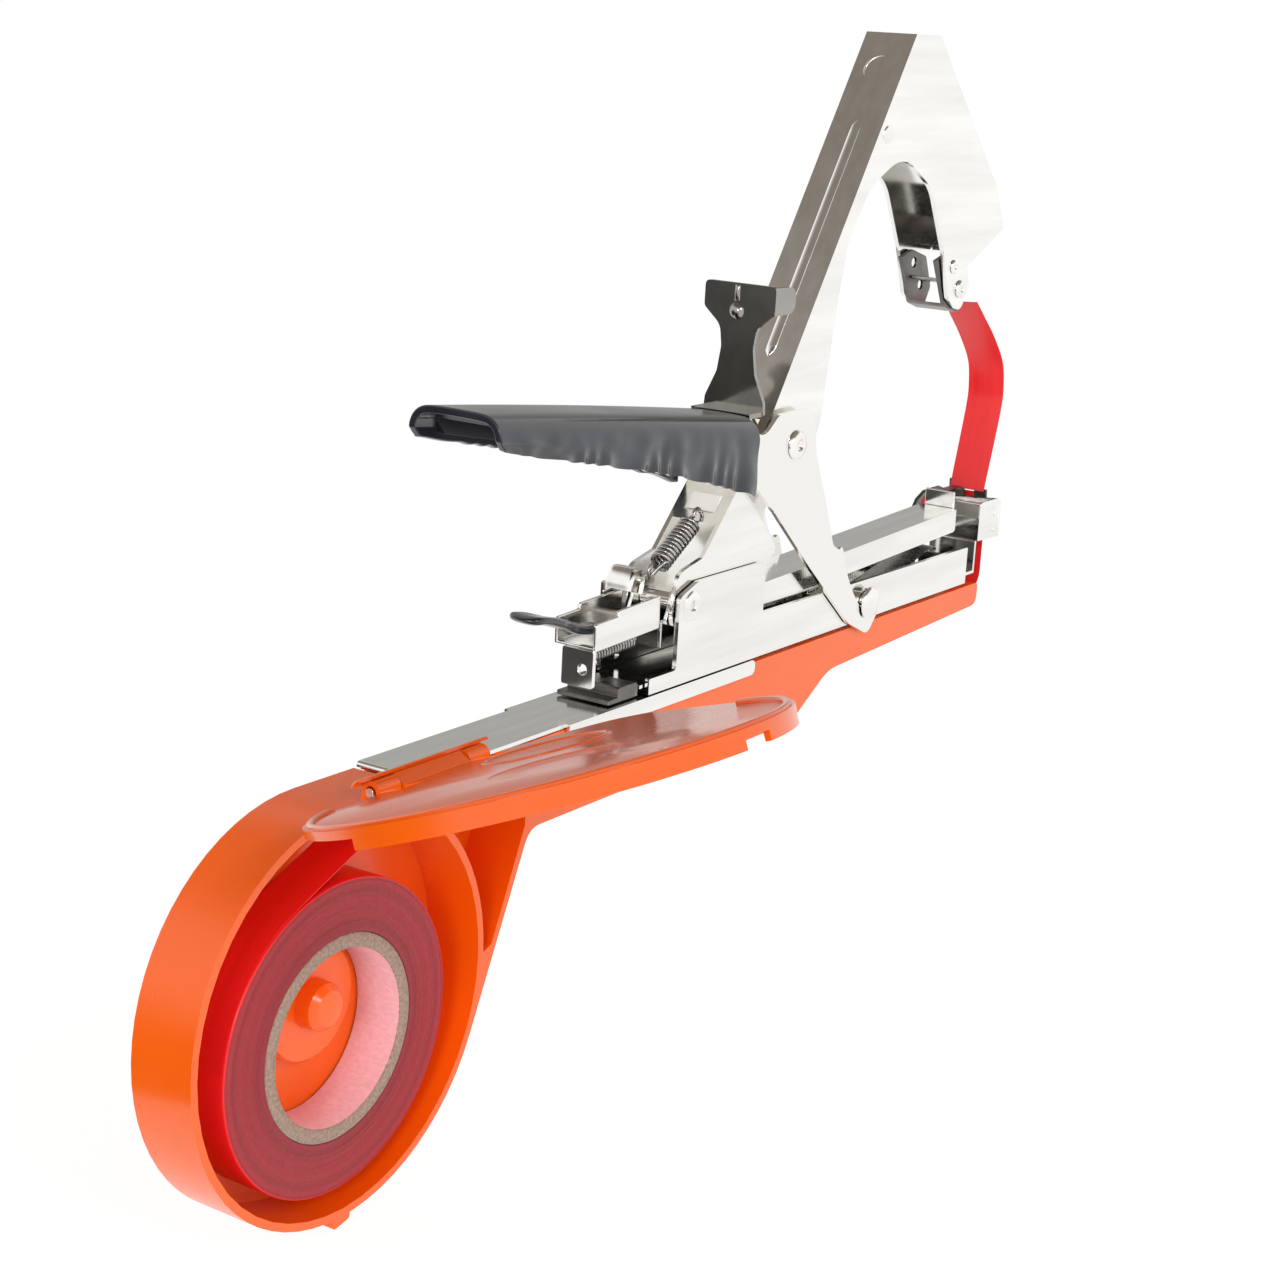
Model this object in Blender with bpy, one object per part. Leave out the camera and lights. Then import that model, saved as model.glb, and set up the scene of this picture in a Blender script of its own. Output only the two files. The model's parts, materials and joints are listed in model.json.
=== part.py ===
"""Hand-held tape gun that ties plants and bags: a roll of tape in a round cassette, a stapling base and a
clincher arm that a squeeze handle closes.

Lengths are in millimetres until a mesh is made. X runs forward from the roll to the jaw, Z up, and Y = 0 is
the middle plane, with the cassette's open side at -Y. The origin lies on the flat top of the saddle plate.
"""

import math

import bmesh
import bpy
from mathutils import Matrix, Vector
from mathutils.geometry import tessellate_polygon

MM = 0.001

# Driving dimensions
GAP = 0.3                   # between pieces that touch or slide
SHEET = 1.0                 # pressed steel of the arm, base and handle
THIN = 0.8                  # lighter sheet of the magazine and saddle
ARM_HALF = 6.5              # half the arm's outside width
CASE_HALF = 7.0             # half the cassette's width
CASE_WALL = 1.6
DRUM_R = 40.0
ROLL_X = -50.0
FRONT_X = 188.4             # front edge of the base's side plates
ROLL_R = 30.2
CORE_R = 19.8
CORE_WALL = 2.8
ROLL_WIDTH = 10.4
TAPE_WIDTH = 9.6
TAPE = 0.3
PIVOT_R = 2.0               # arm pivot and handle pivot pins
HOOK_R = 2.3
ARM_TOP_Z = 135.8
REST_TILT = math.radians(2.3)   # magazine's rise towards the front
ARM_CLOSES = math.radians(24.5)
HANDLE_RATIO = -1.2         # handle's turn on the arm for each unit of the arm's turn
LID_OPEN = math.radians(111)

# Widths that follow, each a half width from the middle plane
ARM_IN = ARM_HALF - SHEET
MAG_HALF = ARM_IN - GAP
MAG_IN = MAG_HALF - THIN
BASE_IN = ARM_HALF + GAP
BASE_HALF = BASE_IN + SHEET
HANDLE_IN = BASE_HALF + GAP
HANDLE_HALF = HANDLE_IN + SHEET
PIN_HEAD = 1.2              # height of a pin's head

# Places in the side view, (x, z)
PIVOT = (57.4, 16.8)        # arm and magazine on the base
HANDLE_PIVOT = (94.1, 47.2)
NECK_TOP = -(THIN + GAP)
DRUM = (ROLL_X, NECK_TOP - DRUM_R)
HUB_R = 11.7
ROLL = (ROLL_X, DRUM[1] + HUB_R + GAP - (CORE_R - CORE_WALL))   # the core hangs on the hub
NECK_END = FRONT_X + 9.4
BASE_TOP = 10.2             # low front part of the base's side plates
BASE_REAR = 42.3
FLOOR_Z = GAP
BASE_FLOOR_Z = FLOOR_Z + SHEET + GAP    # underside of the floor that lies in the base channel
HOOK = (133.8, BASE_FLOOR_Z + THIN + HOOK_R + 0.1)  # base pin that the handle's tail hooks
JAW_X = FRONT_X + 14.6      # where the tape rises
HEAD = (FRONT_X - 12.3, 81.5)   # rear corner of the arm's clinching edge

LID_HINGE = (-9.2, 1.2)     # (y, z)
LID_PIN_R = 0.9
JAW_LOW, JAW_TOP = 10.4, 20.4


# Materials

def material(name, colour, roughness, metallic=0.0):
    made = bpy.data.materials.new(name)
    made.use_nodes = True
    shader = made.node_tree.nodes["Principled BSDF"]
    shader.inputs["Base Color"].default_value = (*colour, 1.0)
    shader.inputs["Roughness"].default_value = roughness
    shader.inputs["Metallic"].default_value = metallic
    return made


def make_materials():
    return {
        "nickel": material("nickel", (0.78, 0.77, 0.74), 0.18, 1.0),
        "dark_steel": material("dark_steel", (0.16, 0.16, 0.15), 0.35, 1.0),
        "spring_steel": material("spring_steel", (0.45, 0.44, 0.42), 0.3, 1.0),
        "orange": material("orange", (0.85, 0.14, 0.01), 0.25),
        "grip": material("grip", (0.03, 0.035, 0.045), 0.3),
        "tape": material("tape", (0.8, 0.02, 0.03), 0.35),
        "tape_edge": material("tape_edge", (0.4, 0.05, 0.07), 0.6),
        "card": material("card", (0.42, 0.32, 0.26), 0.85),
    }


# Outlines

def arc(centre, radius, start, end, steps=12):
    """Points on a circle from one angle to another, in degrees."""
    turn = [math.radians(start + (end - start) * i / steps) for i in range(steps + 1)]
    return [(centre[0] + radius * math.cos(a), centre[1] + radius * math.sin(a)) for a in turn]


def rounded(points, steps=4):
    """An outline of (x, z) or (x, z, radius) points, with an arc at each corner that has a radius."""
    outline = []
    for i, point in enumerate(points):
        here = Vector(point[:2])
        radius = point[2] if len(point) > 2 else 0.0
        if not radius:
            outline.append(tuple(here))
            continue
        before = (Vector(points[i - 1][:2]) - here)
        after = (Vector(points[(i + 1) % len(points)][:2]) - here)
        half = before.angle(after) / 2
        reach = min(radius / math.tan(half), 0.49 * before.length, 0.49 * after.length)
        first = here + before.normalized() * reach
        last = here + after.normalized() * reach
        for s in range(steps + 1):
            t = s / steps
            outline.append(tuple(first * (1 - t) ** 2 + here * 2 * t * (1 - t) + last * t * t))
    return outline


def circle(centre, radius, steps=24):
    return arc(centre, radius, 0, 360 - 360 / steps, steps - 1)


def strip(path, thickness):
    """The closed outline of a thin sheet whose middle line is the path."""
    left, right = [], []
    for i, point in enumerate(path):
        here = Vector(point)
        back = here - Vector(path[i - 1]) if i else None
        ahead = Vector(path[i + 1]) - here if i + 1 < len(path) else None
        one = (back or ahead).normalized()
        two = (ahead or back).normalized()
        along = (one + two).normalized()
        out = Vector((-along.y, along.x)) * (thickness / 2 / max(0.3, along.dot(one)))
        left.append(tuple(here + out))
        right.append(tuple(here - out))
    return left + right[::-1]


def turned_about(point, centre, angle):
    """A side view point turned about a centre, positive as a hinge on +Y turns it."""
    x, z = point[0] - centre[0], point[1] - centre[1]
    return (centre[0] + x * math.cos(angle) + z * math.sin(angle),
            centre[1] - x * math.sin(angle) + z * math.cos(angle))


# Solids

def mesh_object(name, bm, finish, origin=(0, 0, 0)):
    """An object from a mesh in millimetres, with its origin at the given point."""
    bmesh.ops.remove_doubles(bm, verts=bm.verts, dist=1e-4)
    bmesh.ops.recalc_face_normals(bm, faces=bm.faces)
    bmesh.ops.translate(bm, verts=bm.verts, vec=-Vector(origin))
    mesh = bpy.data.meshes.new(name)
    bm.to_mesh(mesh)
    bm.free()
    if finish:
        mesh.materials.append(finish)
    mesh.shade_smooth()
    mesh.set_sharp_from_angle(angle=math.radians(35))
    made = bpy.data.objects.new(name, mesh)
    made.location = Vector(origin) * MM
    made.scale = (MM, MM, MM)
    bpy.context.collection.objects.link(made)
    return made


def prism_mesh(outline, low, high, holes=(), across="y"):
    """A flat outline, with any holes, extruded across the tool or along another axis."""
    place = {"y": lambda p, d: (p[0], d, p[1]),
             "x": lambda p, d: (d, p[0], p[1]),
             "z": lambda p, d: (p[0], p[1], d)}[across]
    loops = [list(outline), *(list(hole) for hole in holes)]
    flat = [point for loop in loops for point in loop]
    triangles = tessellate_polygon([[Vector((*point, 0)) for point in loop] for loop in loops])
    bm = bmesh.new()
    near = [bm.verts.new(place(point, low)) for point in flat]
    far = [bm.verts.new(place(point, high)) for point in flat]
    for a, b, c in triangles:
        bm.faces.new((near[a], near[b], near[c]))
        bm.faces.new((far[c], far[b], far[a]))
    first = 0
    for loop in loops:
        count = len(loop)
        for i in range(count):
            one, two = first + i, first + (i + 1) % count
            bm.faces.new((near[one], near[two], far[two], far[one]))
        first += count
    return bm


def turned_mesh(profile, steps=24):
    """A profile of (radius, height) points turned about +Y through the origin."""
    bm = bmesh.new()
    rings = []
    for radius, height in profile:
        count = steps if radius > 1e-6 else 1
        rings.append([bm.verts.new((radius * math.cos(2 * math.pi * i / steps), height,
                                    radius * math.sin(2 * math.pi * i / steps))) for i in range(count)])
    closed = profile[0][0] > 1e-6
    pairs = list(zip(rings, rings[1:] + rings[:1])) if closed else list(zip(rings, rings[1:]))
    for one, two in pairs:
        for i in range(steps):
            corners = (one[i % len(one)], one[(i + 1) % len(one)], two[(i + 1) % len(two)], two[i % len(two)])
            corners = list(dict.fromkeys(corners))
            if len(corners) > 2:
                bm.faces.new(corners)
    return bm


def tube_mesh(path, radius, sides=8):
    """A round wire along points in space, with flat ends."""
    bm = bmesh.new()
    points = [Vector(point) for point in path]
    rings = []
    side = None
    for i, point in enumerate(points):
        along = (points[min(i + 1, len(points) - 1)] - points[max(i - 1, 0)]).normalized()
        if side is None:
            side = along.orthogonal().normalized()
        side = (side - along * side.dot(along)).normalized()
        other = along.cross(side)
        rings.append([bm.verts.new(point + (side * math.cos(a) + other * math.sin(a)) * radius)
                      for a in (2 * math.pi * s / sides for s in range(sides))])
    for one, two in zip(rings, rings[1:]):
        for s in range(sides):
            bm.faces.new((one[s], one[(s + 1) % sides], two[(s + 1) % sides], two[s]))
    bm.faces.new(rings[0])
    bm.faces.new(rings[-1])
    return bm


def helix(start, end, radius, turns, per_turn=10):
    """Points of a coil about the line from start to end."""
    start, end = Vector(start), Vector(end)
    along = (end - start).normalized()
    side = along.orthogonal().normalized()
    other = along.cross(side)
    count = int(turns * per_turn)
    points = []
    for i in range(count + 1):
        a = 2 * math.pi * i / per_turn
        points.append(start.lerp(end, i / count) + (side * math.cos(a) + other * math.sin(a)) * radius)
    return points


def combine(target, bm, operation):
    """Cuts, or joins on, a solid with an exact Boolean that stays on the target."""
    tool = mesh_object(f"{target.name}_{operation.lower()}_{len(target.modifiers)}", bm, None)
    tool.hide_render = True
    tool.display_type = "WIRE"
    step = target.modifiers.new(operation.lower(), "BOOLEAN")
    step.operation = operation
    step.object = tool
    step.solver = "EXACT"
    return target


def cut(target, bm):
    return combine(target, bm, "DIFFERENCE")


def join(target, bm):
    return combine(target, bm, "UNION")


def block_mesh(x, y, z):
    """A block from pairs of limits."""
    return prism_mesh([(x[0], z[0]), (x[1], z[0]), (x[1], z[1]), (x[0], z[1])], y[0], y[1])


def plate(name, finish, outline, low, high, holes=(), origin=(0, 0, 0), across="y"):
    return mesh_object(name, prism_mesh(outline, low, high, holes, across), finish, origin)


def at(point, y=0.0):
    return (point[0], y, point[1])


def pin_mesh(centre, radius, low, high, heads=(), head_r=0.0, head=PIN_HEAD, steps=20):
    """A pin across the tool, with a rounded head outside each limit named in heads, -1 or 1."""
    profile = [(0, low), (radius, low), (radius, high), (0, high)]
    if -1 in heads:
        profile[:2] = [(0, low - head), (head_r * 0.8, low - head), (head_r, low - head * 0.5),
                       (head_r, low), (radius, low)]
    if 1 in heads:
        profile[-2:] = [(radius, high), (head_r, high), (head_r, high + head * 0.5),
                        (head_r * 0.8, high + head), (0, high + head)]
    bm = turned_mesh(profile, steps)
    bmesh.ops.translate(bm, verts=bm.verts, vec=at(centre))
    return bm


# Cassette, lid and tape

def tangent_below(point, centre, radius):
    """Angle, in degrees, at which a line down from the point touches the circle on its right side."""
    dx, dz = point[0] - centre[0], point[1] - centre[1]
    away = math.hypot(dx, dz)
    return math.degrees(math.atan2(dz, dx) - math.acos(radius / away))


NECK_DEPTH = 18.0
WALL_TOP = (ROLL_X + DRUM_R + 13.5, NECK_TOP - NECK_DEPTH)
GUSSET_X = 104.5
CHANNEL_TOP = NECK_TOP - CASE_WALL
CHANNEL_HEIGHT = 2.6
NECK_FRONT_DEPTH = CASE_WALL * 2 + CHANNEL_HEIGHT
MOUTH_X = ROLL_X + 21       # where the tape enters the neck


def make_cassette(paint):
    touch = tangent_below(WALL_TOP, DRUM, DRUM_R)
    neck = [(NECK_END, NECK_TOP, 1.5), (NECK_END, NECK_TOP - NECK_FRONT_DEPTH, 4.0),
            (GUSSET_X + 16, NECK_TOP - NECK_FRONT_DEPTH - 2.8, 14.0),
            (GUSSET_X, NECK_TOP - NECK_DEPTH, 4.0), (*WALL_TOP, 5.0)]
    outline = rounded(arc(DRUM, DRUM_R, touch, -270, 44) + neck, 6)
    body = plate("cassette_body", paint["orange"], outline, -CASE_HALF, CASE_HALF)
    back = CASE_HALF - CASE_WALL
    cut(body, prism_mesh(circle(DRUM, DRUM_R - CASE_WALL, 48), -CASE_HALF - 1, back))
    inner = Vector(WALL_TOP) + Vector((-CASE_WALL, 0))
    low = arc(DRUM, DRUM_R, 46, touch + 24, 8)
    slope = Vector(WALL_TOP) - Vector(arc(DRUM, DRUM_R, touch, touch, 1)[0])
    toe = inner - slope * 0.55
    pocket = low + [tuple(toe), tuple(inner + Vector((0, 1))),
                    (inner.x, CHANNEL_TOP - CHANNEL_HEIGHT - CASE_WALL)]
    cut(body, prism_mesh(pocket, -CASE_HALF - 1.5, back - 0.2))
    side = TAPE_WIDTH / 2 + GAP
    bottom = CHANNEL_TOP - CHANNEL_HEIGHT
    channel = [(ROLL_X + 12, CHANNEL_TOP), (NECK_END + 1, CHANNEL_TOP), (NECK_END + 1, bottom),
               (MOUTH_X + 4, bottom), (MOUTH_X - 9, bottom - 5)]
    cut(body, prism_mesh(channel, -side, side))
    cut(body, block_mesh((SADDLE_REAR - 1.6, SADDLE_REAR + 1.6), (-CASE_HALF - 1, CASE_HALF + 1),
                         (NECK_TOP - 1.2, NECK_TOP + 1)))
    hub = turned_mesh([(0, back + 0.5), (HUB_R, back + 0.5), (HUB_R, back - 3.0), (HUB_R - 0.6, back - 3.6),
                       (4.8, back - 3.6), (4.6, back - 7.0), (3.4, back - 8.2), (0, back - 8.6)], 28)
    bmesh.ops.translate(hub, verts=hub.verts, vec=at(DRUM))
    join(body, hub)
    tab_z = DRUM[1] - DRUM_R
    tab = rounded([(ROLL_X - 2.5, tab_z + 0.7), (ROLL_X + 2.2, tab_z + 0.8),
                   (ROLL_X + 2.2, tab_z - 1.2, 0.8), (ROLL_X - 2.5, tab_z - 2.2, 0.8)], 3)
    join(body, prism_mesh(tab, -CASE_HALF + 0.15, -CASE_HALF + 2.6))
    for low, high in KNUCKLES[::2]:
        join(body, knuckle_mesh(low, high, -CASE_HALF + CASE_WALL * 0.6))
    return body


KNUCKLES = ((ROLL_X + 2, ROLL_X + 8), (ROLL_X + 8.3, ROLL_X + 27.7), (ROLL_X + 28, ROLL_X + 34))
KNUCKLE_R = 2.1


def knuckle_mesh(low, high, root_y):
    """One knuckle of the lid's hinge, with a foot that runs down and into the wall at root_y."""
    y, z = LID_HINGE
    outline = arc((y, z), KNUCKLE_R, 0, 180, 10) + [(y - KNUCKLE_R, z - 3.4), (root_y, z - 5.8),
                                                    (root_y, NECK_TOP - 0.5), (y + KNUCKLE_R, NECK_TOP - 0.5)]
    return prism_mesh(outline, low, high, [circle((y, z), LID_PIN_R + GAP, 16)], "x")


LID_Y = -CASE_HALF - GAP    # inner face of the closed lid
LID_SHEET = 1.5
LID_SKIRT = 1.9             # height of the lid's skirt inside its plate
LID_R = DRUM_R + GAP + 1.5


def make_lid(paint):
    top = LID_HINGE[1] - 2.6
    high = math.degrees(math.asin((top - DRUM[1]) / LID_R))
    stop = tangent_below((WALL_TOP[0] + 1.2, -24), DRUM, LID_R)
    outline = arc(DRUM, LID_R, stop, -180 - high, 44)
    for low, end in KNUCKLES[::2]:
        outline += [(low - GAP, top), (low - GAP, top - 4.6), (end + GAP, top - 4.6), (end + GAP, top)]
    front = WALL_TOP[0] + 1.2
    outline += [(front - 15.2, top, 8.0), (front + 0.4, top - 13, 10.0), (front, -24, 6.0)]
    outline = rounded(outline)
    origin = (ROLL_X, *LID_HINGE)

    def opened(bm):
        """Turns a solid about the hinge, from the closed lid's place to the open one's."""
        bmesh.ops.rotate(bm, verts=bm.verts, cent=origin, matrix=Matrix.Rotation(-LID_OPEN, 3, "X"))
        return bm

    flat = opened(prism_mesh(outline, LID_Y - LID_SHEET, LID_Y))
    lid = mesh_object("cassette_lid", flat, paint["orange"], origin)
    skirt = arc(DRUM, LID_R - 0.1, stop - 7, -192, 40) + arc(DRUM, LID_R - 1.3, -192, stop - 7, 40)
    spindle = turned_mesh([(13.4, 0), (14.8, 0), (14.8, 4.6), (13.4, 4.6)], 30)
    bmesh.ops.translate(spindle, verts=spindle.verts, vec=(ROLL[0], LID_Y - 0.7, ROLL[1] + 1.5))
    y, z = LID_HINGE
    low, high = KNUCKLES[1]
    outside = LID_Y - LID_SHEET + 0.1
    tongue = arc((y, z), KNUCKLE_R, 0, 180, 10) + [(y - KNUCKLE_R, z - 0.5), (outside, z - 2.4),
                                                   (outside, z - 5.5), (LID_Y - 0.1, z - 5.5)]
    pieces = [prism_mesh(skirt, LID_Y - 0.5, LID_Y + LID_SKIRT), spindle,
              prism_mesh(tongue, low + 0.1, high - 0.1, [circle((y, z), LID_PIN_R + GAP, 16)], "x")]
    for bm in pieces:
        join(lid, opened(bm))
    cut(lid, opened(block_mesh((ROLL_X - 3.6, ROLL_X + 3.4), (LID_Y + 0.1, LID_Y + 5.5),
                               (DRUM[1] - LID_R - 1, DRUM[1] - LID_R + 3))))
    return lid


def make_lid_pin(paint):
    y, z = LID_HINGE
    left, right = KNUCKLES[0][0] - 0.4, KNUCKLES[2][1] + 0.4
    bm = turned_mesh([(0, left), (LID_PIN_R, left), (LID_PIN_R, right), (0, right)], 14)
    bmesh.ops.rotate(bm, verts=bm.verts, matrix=Matrix.Rotation(math.radians(-90), 3, "Z"))
    bmesh.ops.translate(bm, verts=bm.verts, vec=(0, y, z))
    return mesh_object("lid_hinge_pin", bm, paint["nickel"])


ROLL_FAR = CASE_HALF - CASE_WALL - GAP


def make_roll(paint):
    near = ROLL_FAR - ROLL_WIDTH
    for name, outer, inner, finish in (("tape_roll", ROLL_R, CORE_R + GAP, "tape_edge"),
                                       ("tape_core", CORE_R, CORE_R - CORE_WALL, "card")):
        bm = turned_mesh([(inner, near), (outer, near), (outer, ROLL_FAR), (inner, ROLL_FAR)], 56)
        bmesh.ops.translate(bm, verts=bm.verts, vec=at(ROLL))
        mesh_object(name, bm, paint[finish], at(ROLL))


def make_tape(paint):
    middle = CHANNEL_TOP - CHANNEL_HEIGHT / 2
    mouth = (MOUTH_X, middle)
    away = math.hypot(mouth[0] - ROLL[0], mouth[1] - ROLL[1])
    leave = math.degrees(math.atan2(mouth[1] - ROLL[1], mouth[0] - ROLL[0])
                         + math.acos((ROLL_R + GAP + TAPE / 2) / away))
    path = arc(ROLL, ROLL_R + GAP + TAPE / 2, leave + 8, leave, 2)
    path += rounded([mouth, (mouth[0] + 4, middle)], 2)[1:] + [(JAW_X - 5, middle)]
    path += arc((JAW_X - 5, middle + 5), 5, -80, 0, 6) + [(JAW_X, JAW_TOP - 3), (JAW_X - 0.2, JAW_TOP + 1.4)]
    half = TAPE_WIDTH / 2
    plate("tape_run", paint["tape"], strip(path, TAPE), -half, half)
    knee = [(JAW_X - 0.2, JAW_TOP + 1.7), (JAW_X + 0.9, JAW_TOP + 6), (JAW_X + 3.3, JAW_TOP + 15),
            (JAW_X + 4.1, JAW_TOP + 21.5), (JAW_X + 2.6, JAW_TOP + 28), (HEAD[0] + 21.5, HEAD[1] - 24),
            (HEAD[0] + 14.8, HEAD[1] - 16), (HEAD[0] + 10.6, HEAD[1] - 9.6)]
    plate("tape_strip", paint["tape"], strip(knee, TAPE), -half, half)


# Base

SADDLE_REAR = ROLL_X + 18
SADDLE_FRONT = 84.6
SADDLE_HALF = CASE_HALF + GAP + THIN
SADDLE_FLANGE = 3.4
TALL_REAR, TALL_FRONT, TALL_TOP = 52.4, 86.9, 21.8


def make_saddle(paint):
    outline = rounded([(14, -SADDLE_FLANGE, 1.4), (SADDLE_FRONT, -SADDLE_FLANGE, 1.6), (SADDLE_FRONT, 0, 1.6),
                       (14, 0)], 5)
    saddle = plate("saddle_plate", paint["nickel"], outline, -SADDLE_HALF, SADDLE_HALF)
    inside = CASE_HALF + GAP
    cut(saddle, block_mesh((0, SADDLE_FRONT + 1), (-inside, inside), (-SADDLE_FLANGE - 1, -THIN)))
    rear = block_mesh((SADDLE_REAR, 15), (-CASE_HALF, CASE_HALF), (-THIN, 0))
    join(saddle, rear)
    join(saddle, prism_mesh(circle((SADDLE_REAR, -THIN), THIN, 14), -CASE_HALF, CASE_HALF))
    return saddle


def make_base(paint):
    outline = rounded([(BASE_REAR, FLOOR_Z), (FRONT_X, FLOOR_Z), (FRONT_X, BASE_TOP - 0.5, 0.6),
                       (TALL_FRONT, BASE_TOP, 1.0), (TALL_FRONT, TALL_TOP, 2.0), (TALL_REAR + 7, TALL_TOP, 3.0),
                       (TALL_REAR, TALL_TOP - 2.5, 2.0), (TALL_REAR, 3.7, 0.8), (BASE_REAR, 3.7, 0.6)])
    base = plate("base_channel", paint["nickel"], outline, -BASE_HALF, BASE_HALF,
                 [circle(PIVOT, PIVOT_R + GAP), circle(HOOK, HOOK_R + GAP)])
    cut(base, block_mesh((BASE_REAR - 1, FRONT_X + 1), (-BASE_IN, BASE_IN), (FLOOR_Z + SHEET, TALL_TOP + 1)))
    inside = BASE_IN - GAP
    low, top = BASE_FLOOR_Z, BASE_FLOOR_Z + THIN
    rear, front = BASE_REAR - 1.5, FRONT_X + 6.6 + THIN
    floor = rounded([(rear, low), (front, low), (front, BASE_TOP, 0.8), (front - THIN, BASE_TOP, 0.8),
                     (front - THIN, top), (rear, top)], 3)
    plate("base_floor", paint["nickel"], floor, -inside, inside)
    return base


def make_base_pins(paint):
    shank = BASE_HALF + GAP
    pivot = pin_mesh(PIVOT, PIVOT_R, -shank, shank, (-1, 1), 3.4, 0.6)
    mesh_object("arm_pivot_pin", pivot, paint["nickel"], at(PIVOT))
    outer = HANDLE_HALF + GAP
    inner = BASE_IN - 1.0
    mesh_object("hook_pin_near", pin_mesh(HOOK, HOOK_R, -outer, -inner, (-1,), 3.9), paint["nickel"])
    mesh_object("hook_pin_far", pin_mesh(HOOK, HOOK_R, inner, outer, (1,), 3.9), paint["nickel"])


def make_base_fittings(paint):
    inside = BASE_IN - GAP
    low = BASE_FLOOR_Z + THIN + GAP
    blade = rounded([(FRONT_X - 4.6, low), (FRONT_X - 3.8, low), (FRONT_X - 3.8, low + 5.2, 0.3),
                     (FRONT_X - 4.6, low + 5.2, 0.3)], 2)
    driver = plate("driver_blade", paint["dark_steel"], blade, -3.8, 3.8)
    join(driver, block_mesh((FRONT_X - 12, FRONT_X - 4), (-5, 5), (low, low + 1.0)))
    leaf = [(HOOK[0] - 18, low + 0.4), (HOOK[0] - 6, low + 0.4), (HOOK[0] + 14, low + 2.4),
            (FRONT_X - 20, low + 6.4), (FRONT_X - 12, low + 8.2), (FRONT_X - 9, low + 7.4)]
    plate("lift_spring", paint["spring_steel"], strip(leaf, 0.5), -3.4, 3.4)
    rear, front, top = 29.6, BASE_REAR - 2.1, BASE_FLOOR_Z + THIN + SHEET
    bracket = rounded([(rear, GAP), (front, GAP), (front, top, 1.0), (rear + 3.6, top, 0.6),
                       (rear + 3.6, GAP + SHEET), (rear, GAP + SHEET)], 2)
    plate("rear_bracket", paint["dark_steel"], bracket, -inside, inside)


# Magazine

def along_magazine(x, height):
    """A point of the side view on the magazine's slope: x from the arm pivot, height from the slope line."""
    c, s = math.cos(REST_TILT), math.sin(REST_TILT)
    return (PIVOT[0] + x * c - height * s, PIVOT[1] + x * s + height * c)


MAG_TOP = -PIVOT_R - GAP    # heights are from a slope line through the arm pivot
MAG_HEIGHT = 5.8
MAG_LOW = MAG_TOP - MAG_HEIGHT
MAG_REAR = -8.0
MAG_FRONT = FRONT_X - PIVOT[0] - 3.2
STAPLE_END = MAG_FRONT - 2.4    # floor, rail and staples stop behind the driver blade


def sloped(points):
    return [along_magazine(*point) for point in points]


def sloped_block(x, y, z):
    return prism_mesh(sloped([(x[0], z[0]), (x[1], z[0]), (x[1], z[1]), (x[0], z[1])]), y[0], y[1])


def make_magazine(paint):
    ear = PIVOT_R + 2.4
    outline = sloped(rounded([(MAG_REAR, MAG_LOW, 0.5), (MAG_FRONT, MAG_LOW, 1.2), (MAG_FRONT, MAG_TOP, 0.5),
                              (ear + 1.5, MAG_TOP), (ear, 0.8, 1.5), (ear - 1, ear, 2.0), (-ear + 1, ear, 2.0),
                              (-ear, 0.8, 1.5), (-ear - 1.5, MAG_TOP), (MAG_REAR, MAG_TOP, 0.5)], 4))
    cover = plate("magazine_cover", paint["nickel"], outline, -MAG_HALF, MAG_HALF,
                  [circle(PIVOT, PIVOT_R + GAP)], at(PIVOT))
    cut(cover, sloped_block((MAG_REAR - 1, MAG_FRONT + 1), (-MAG_IN, MAG_IN), (MAG_LOW - 1, MAG_TOP - THIN)))
    cut(cover, sloped_block((-ear - 2.4, ear + 2.4), (-MAG_IN, MAG_IN), (MAG_TOP - 2, ear + 2)))
    inside = MAG_IN - GAP
    low = MAG_LOW
    plate("magazine_floor", paint["dark_steel"],
          sloped([(MAG_REAR, low), (STAPLE_END, low), (STAPLE_END, low + THIN), (MAG_REAR, low + THIN)]),
          -inside, inside, (), at(PIVOT))
    rail_half = inside - THIN - GAP
    rail_low = low + THIN + GAP
    rail_top = MAG_TOP - THIN - GAP - THIN - GAP
    rail = rounded([(8, rail_low), (STAPLE_END, rail_low), (STAPLE_END, rail_top, 0.4), (8, rail_top, 0.4)])
    plate("staple_rail", paint["spring_steel"], sloped(rail), -rail_half, rail_half, (), at(PIVOT))
    strip_outline = sloped([(64, rail_low), (STAPLE_END, rail_low), (STAPLE_END, rail_top + GAP + THIN),
                            (64, rail_top + GAP + THIN)])
    staples = plate("staple_strip", paint["spring_steel"], strip_outline, -inside, inside, (), at(PIVOT))
    cut(staples, sloped_block((63, MAG_FRONT), (-inside + THIN, inside - THIN), (rail_low - 1, rail_top + GAP)))
    follower = plate("follower", paint["dark_steel"],
                     sloped(rounded([(52, rail_low), (63.4, rail_low), (63.4, rail_top + GAP + THIN, 0.4),
                                     (52, rail_top + GAP + THIN, 0.4)], 2)), -inside, inside, (), at(PIVOT))
    cut(follower, sloped_block((51, 65), (-inside + THIN, inside - THIN), (rail_low - 1, rail_top + GAP)))
    front = sloped([(MAG_FRONT + GAP, MAG_LOW + 0.6), (MAG_FRONT + GAP + THIN, MAG_LOW + 0.6),
                    (MAG_FRONT + GAP + THIN, MAG_TOP + 4.2), (MAG_FRONT + GAP, MAG_TOP + 4.2)])
    plate("magazine_face", paint["nickel"], front, -inside, inside, (), at(PIVOT))


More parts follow.
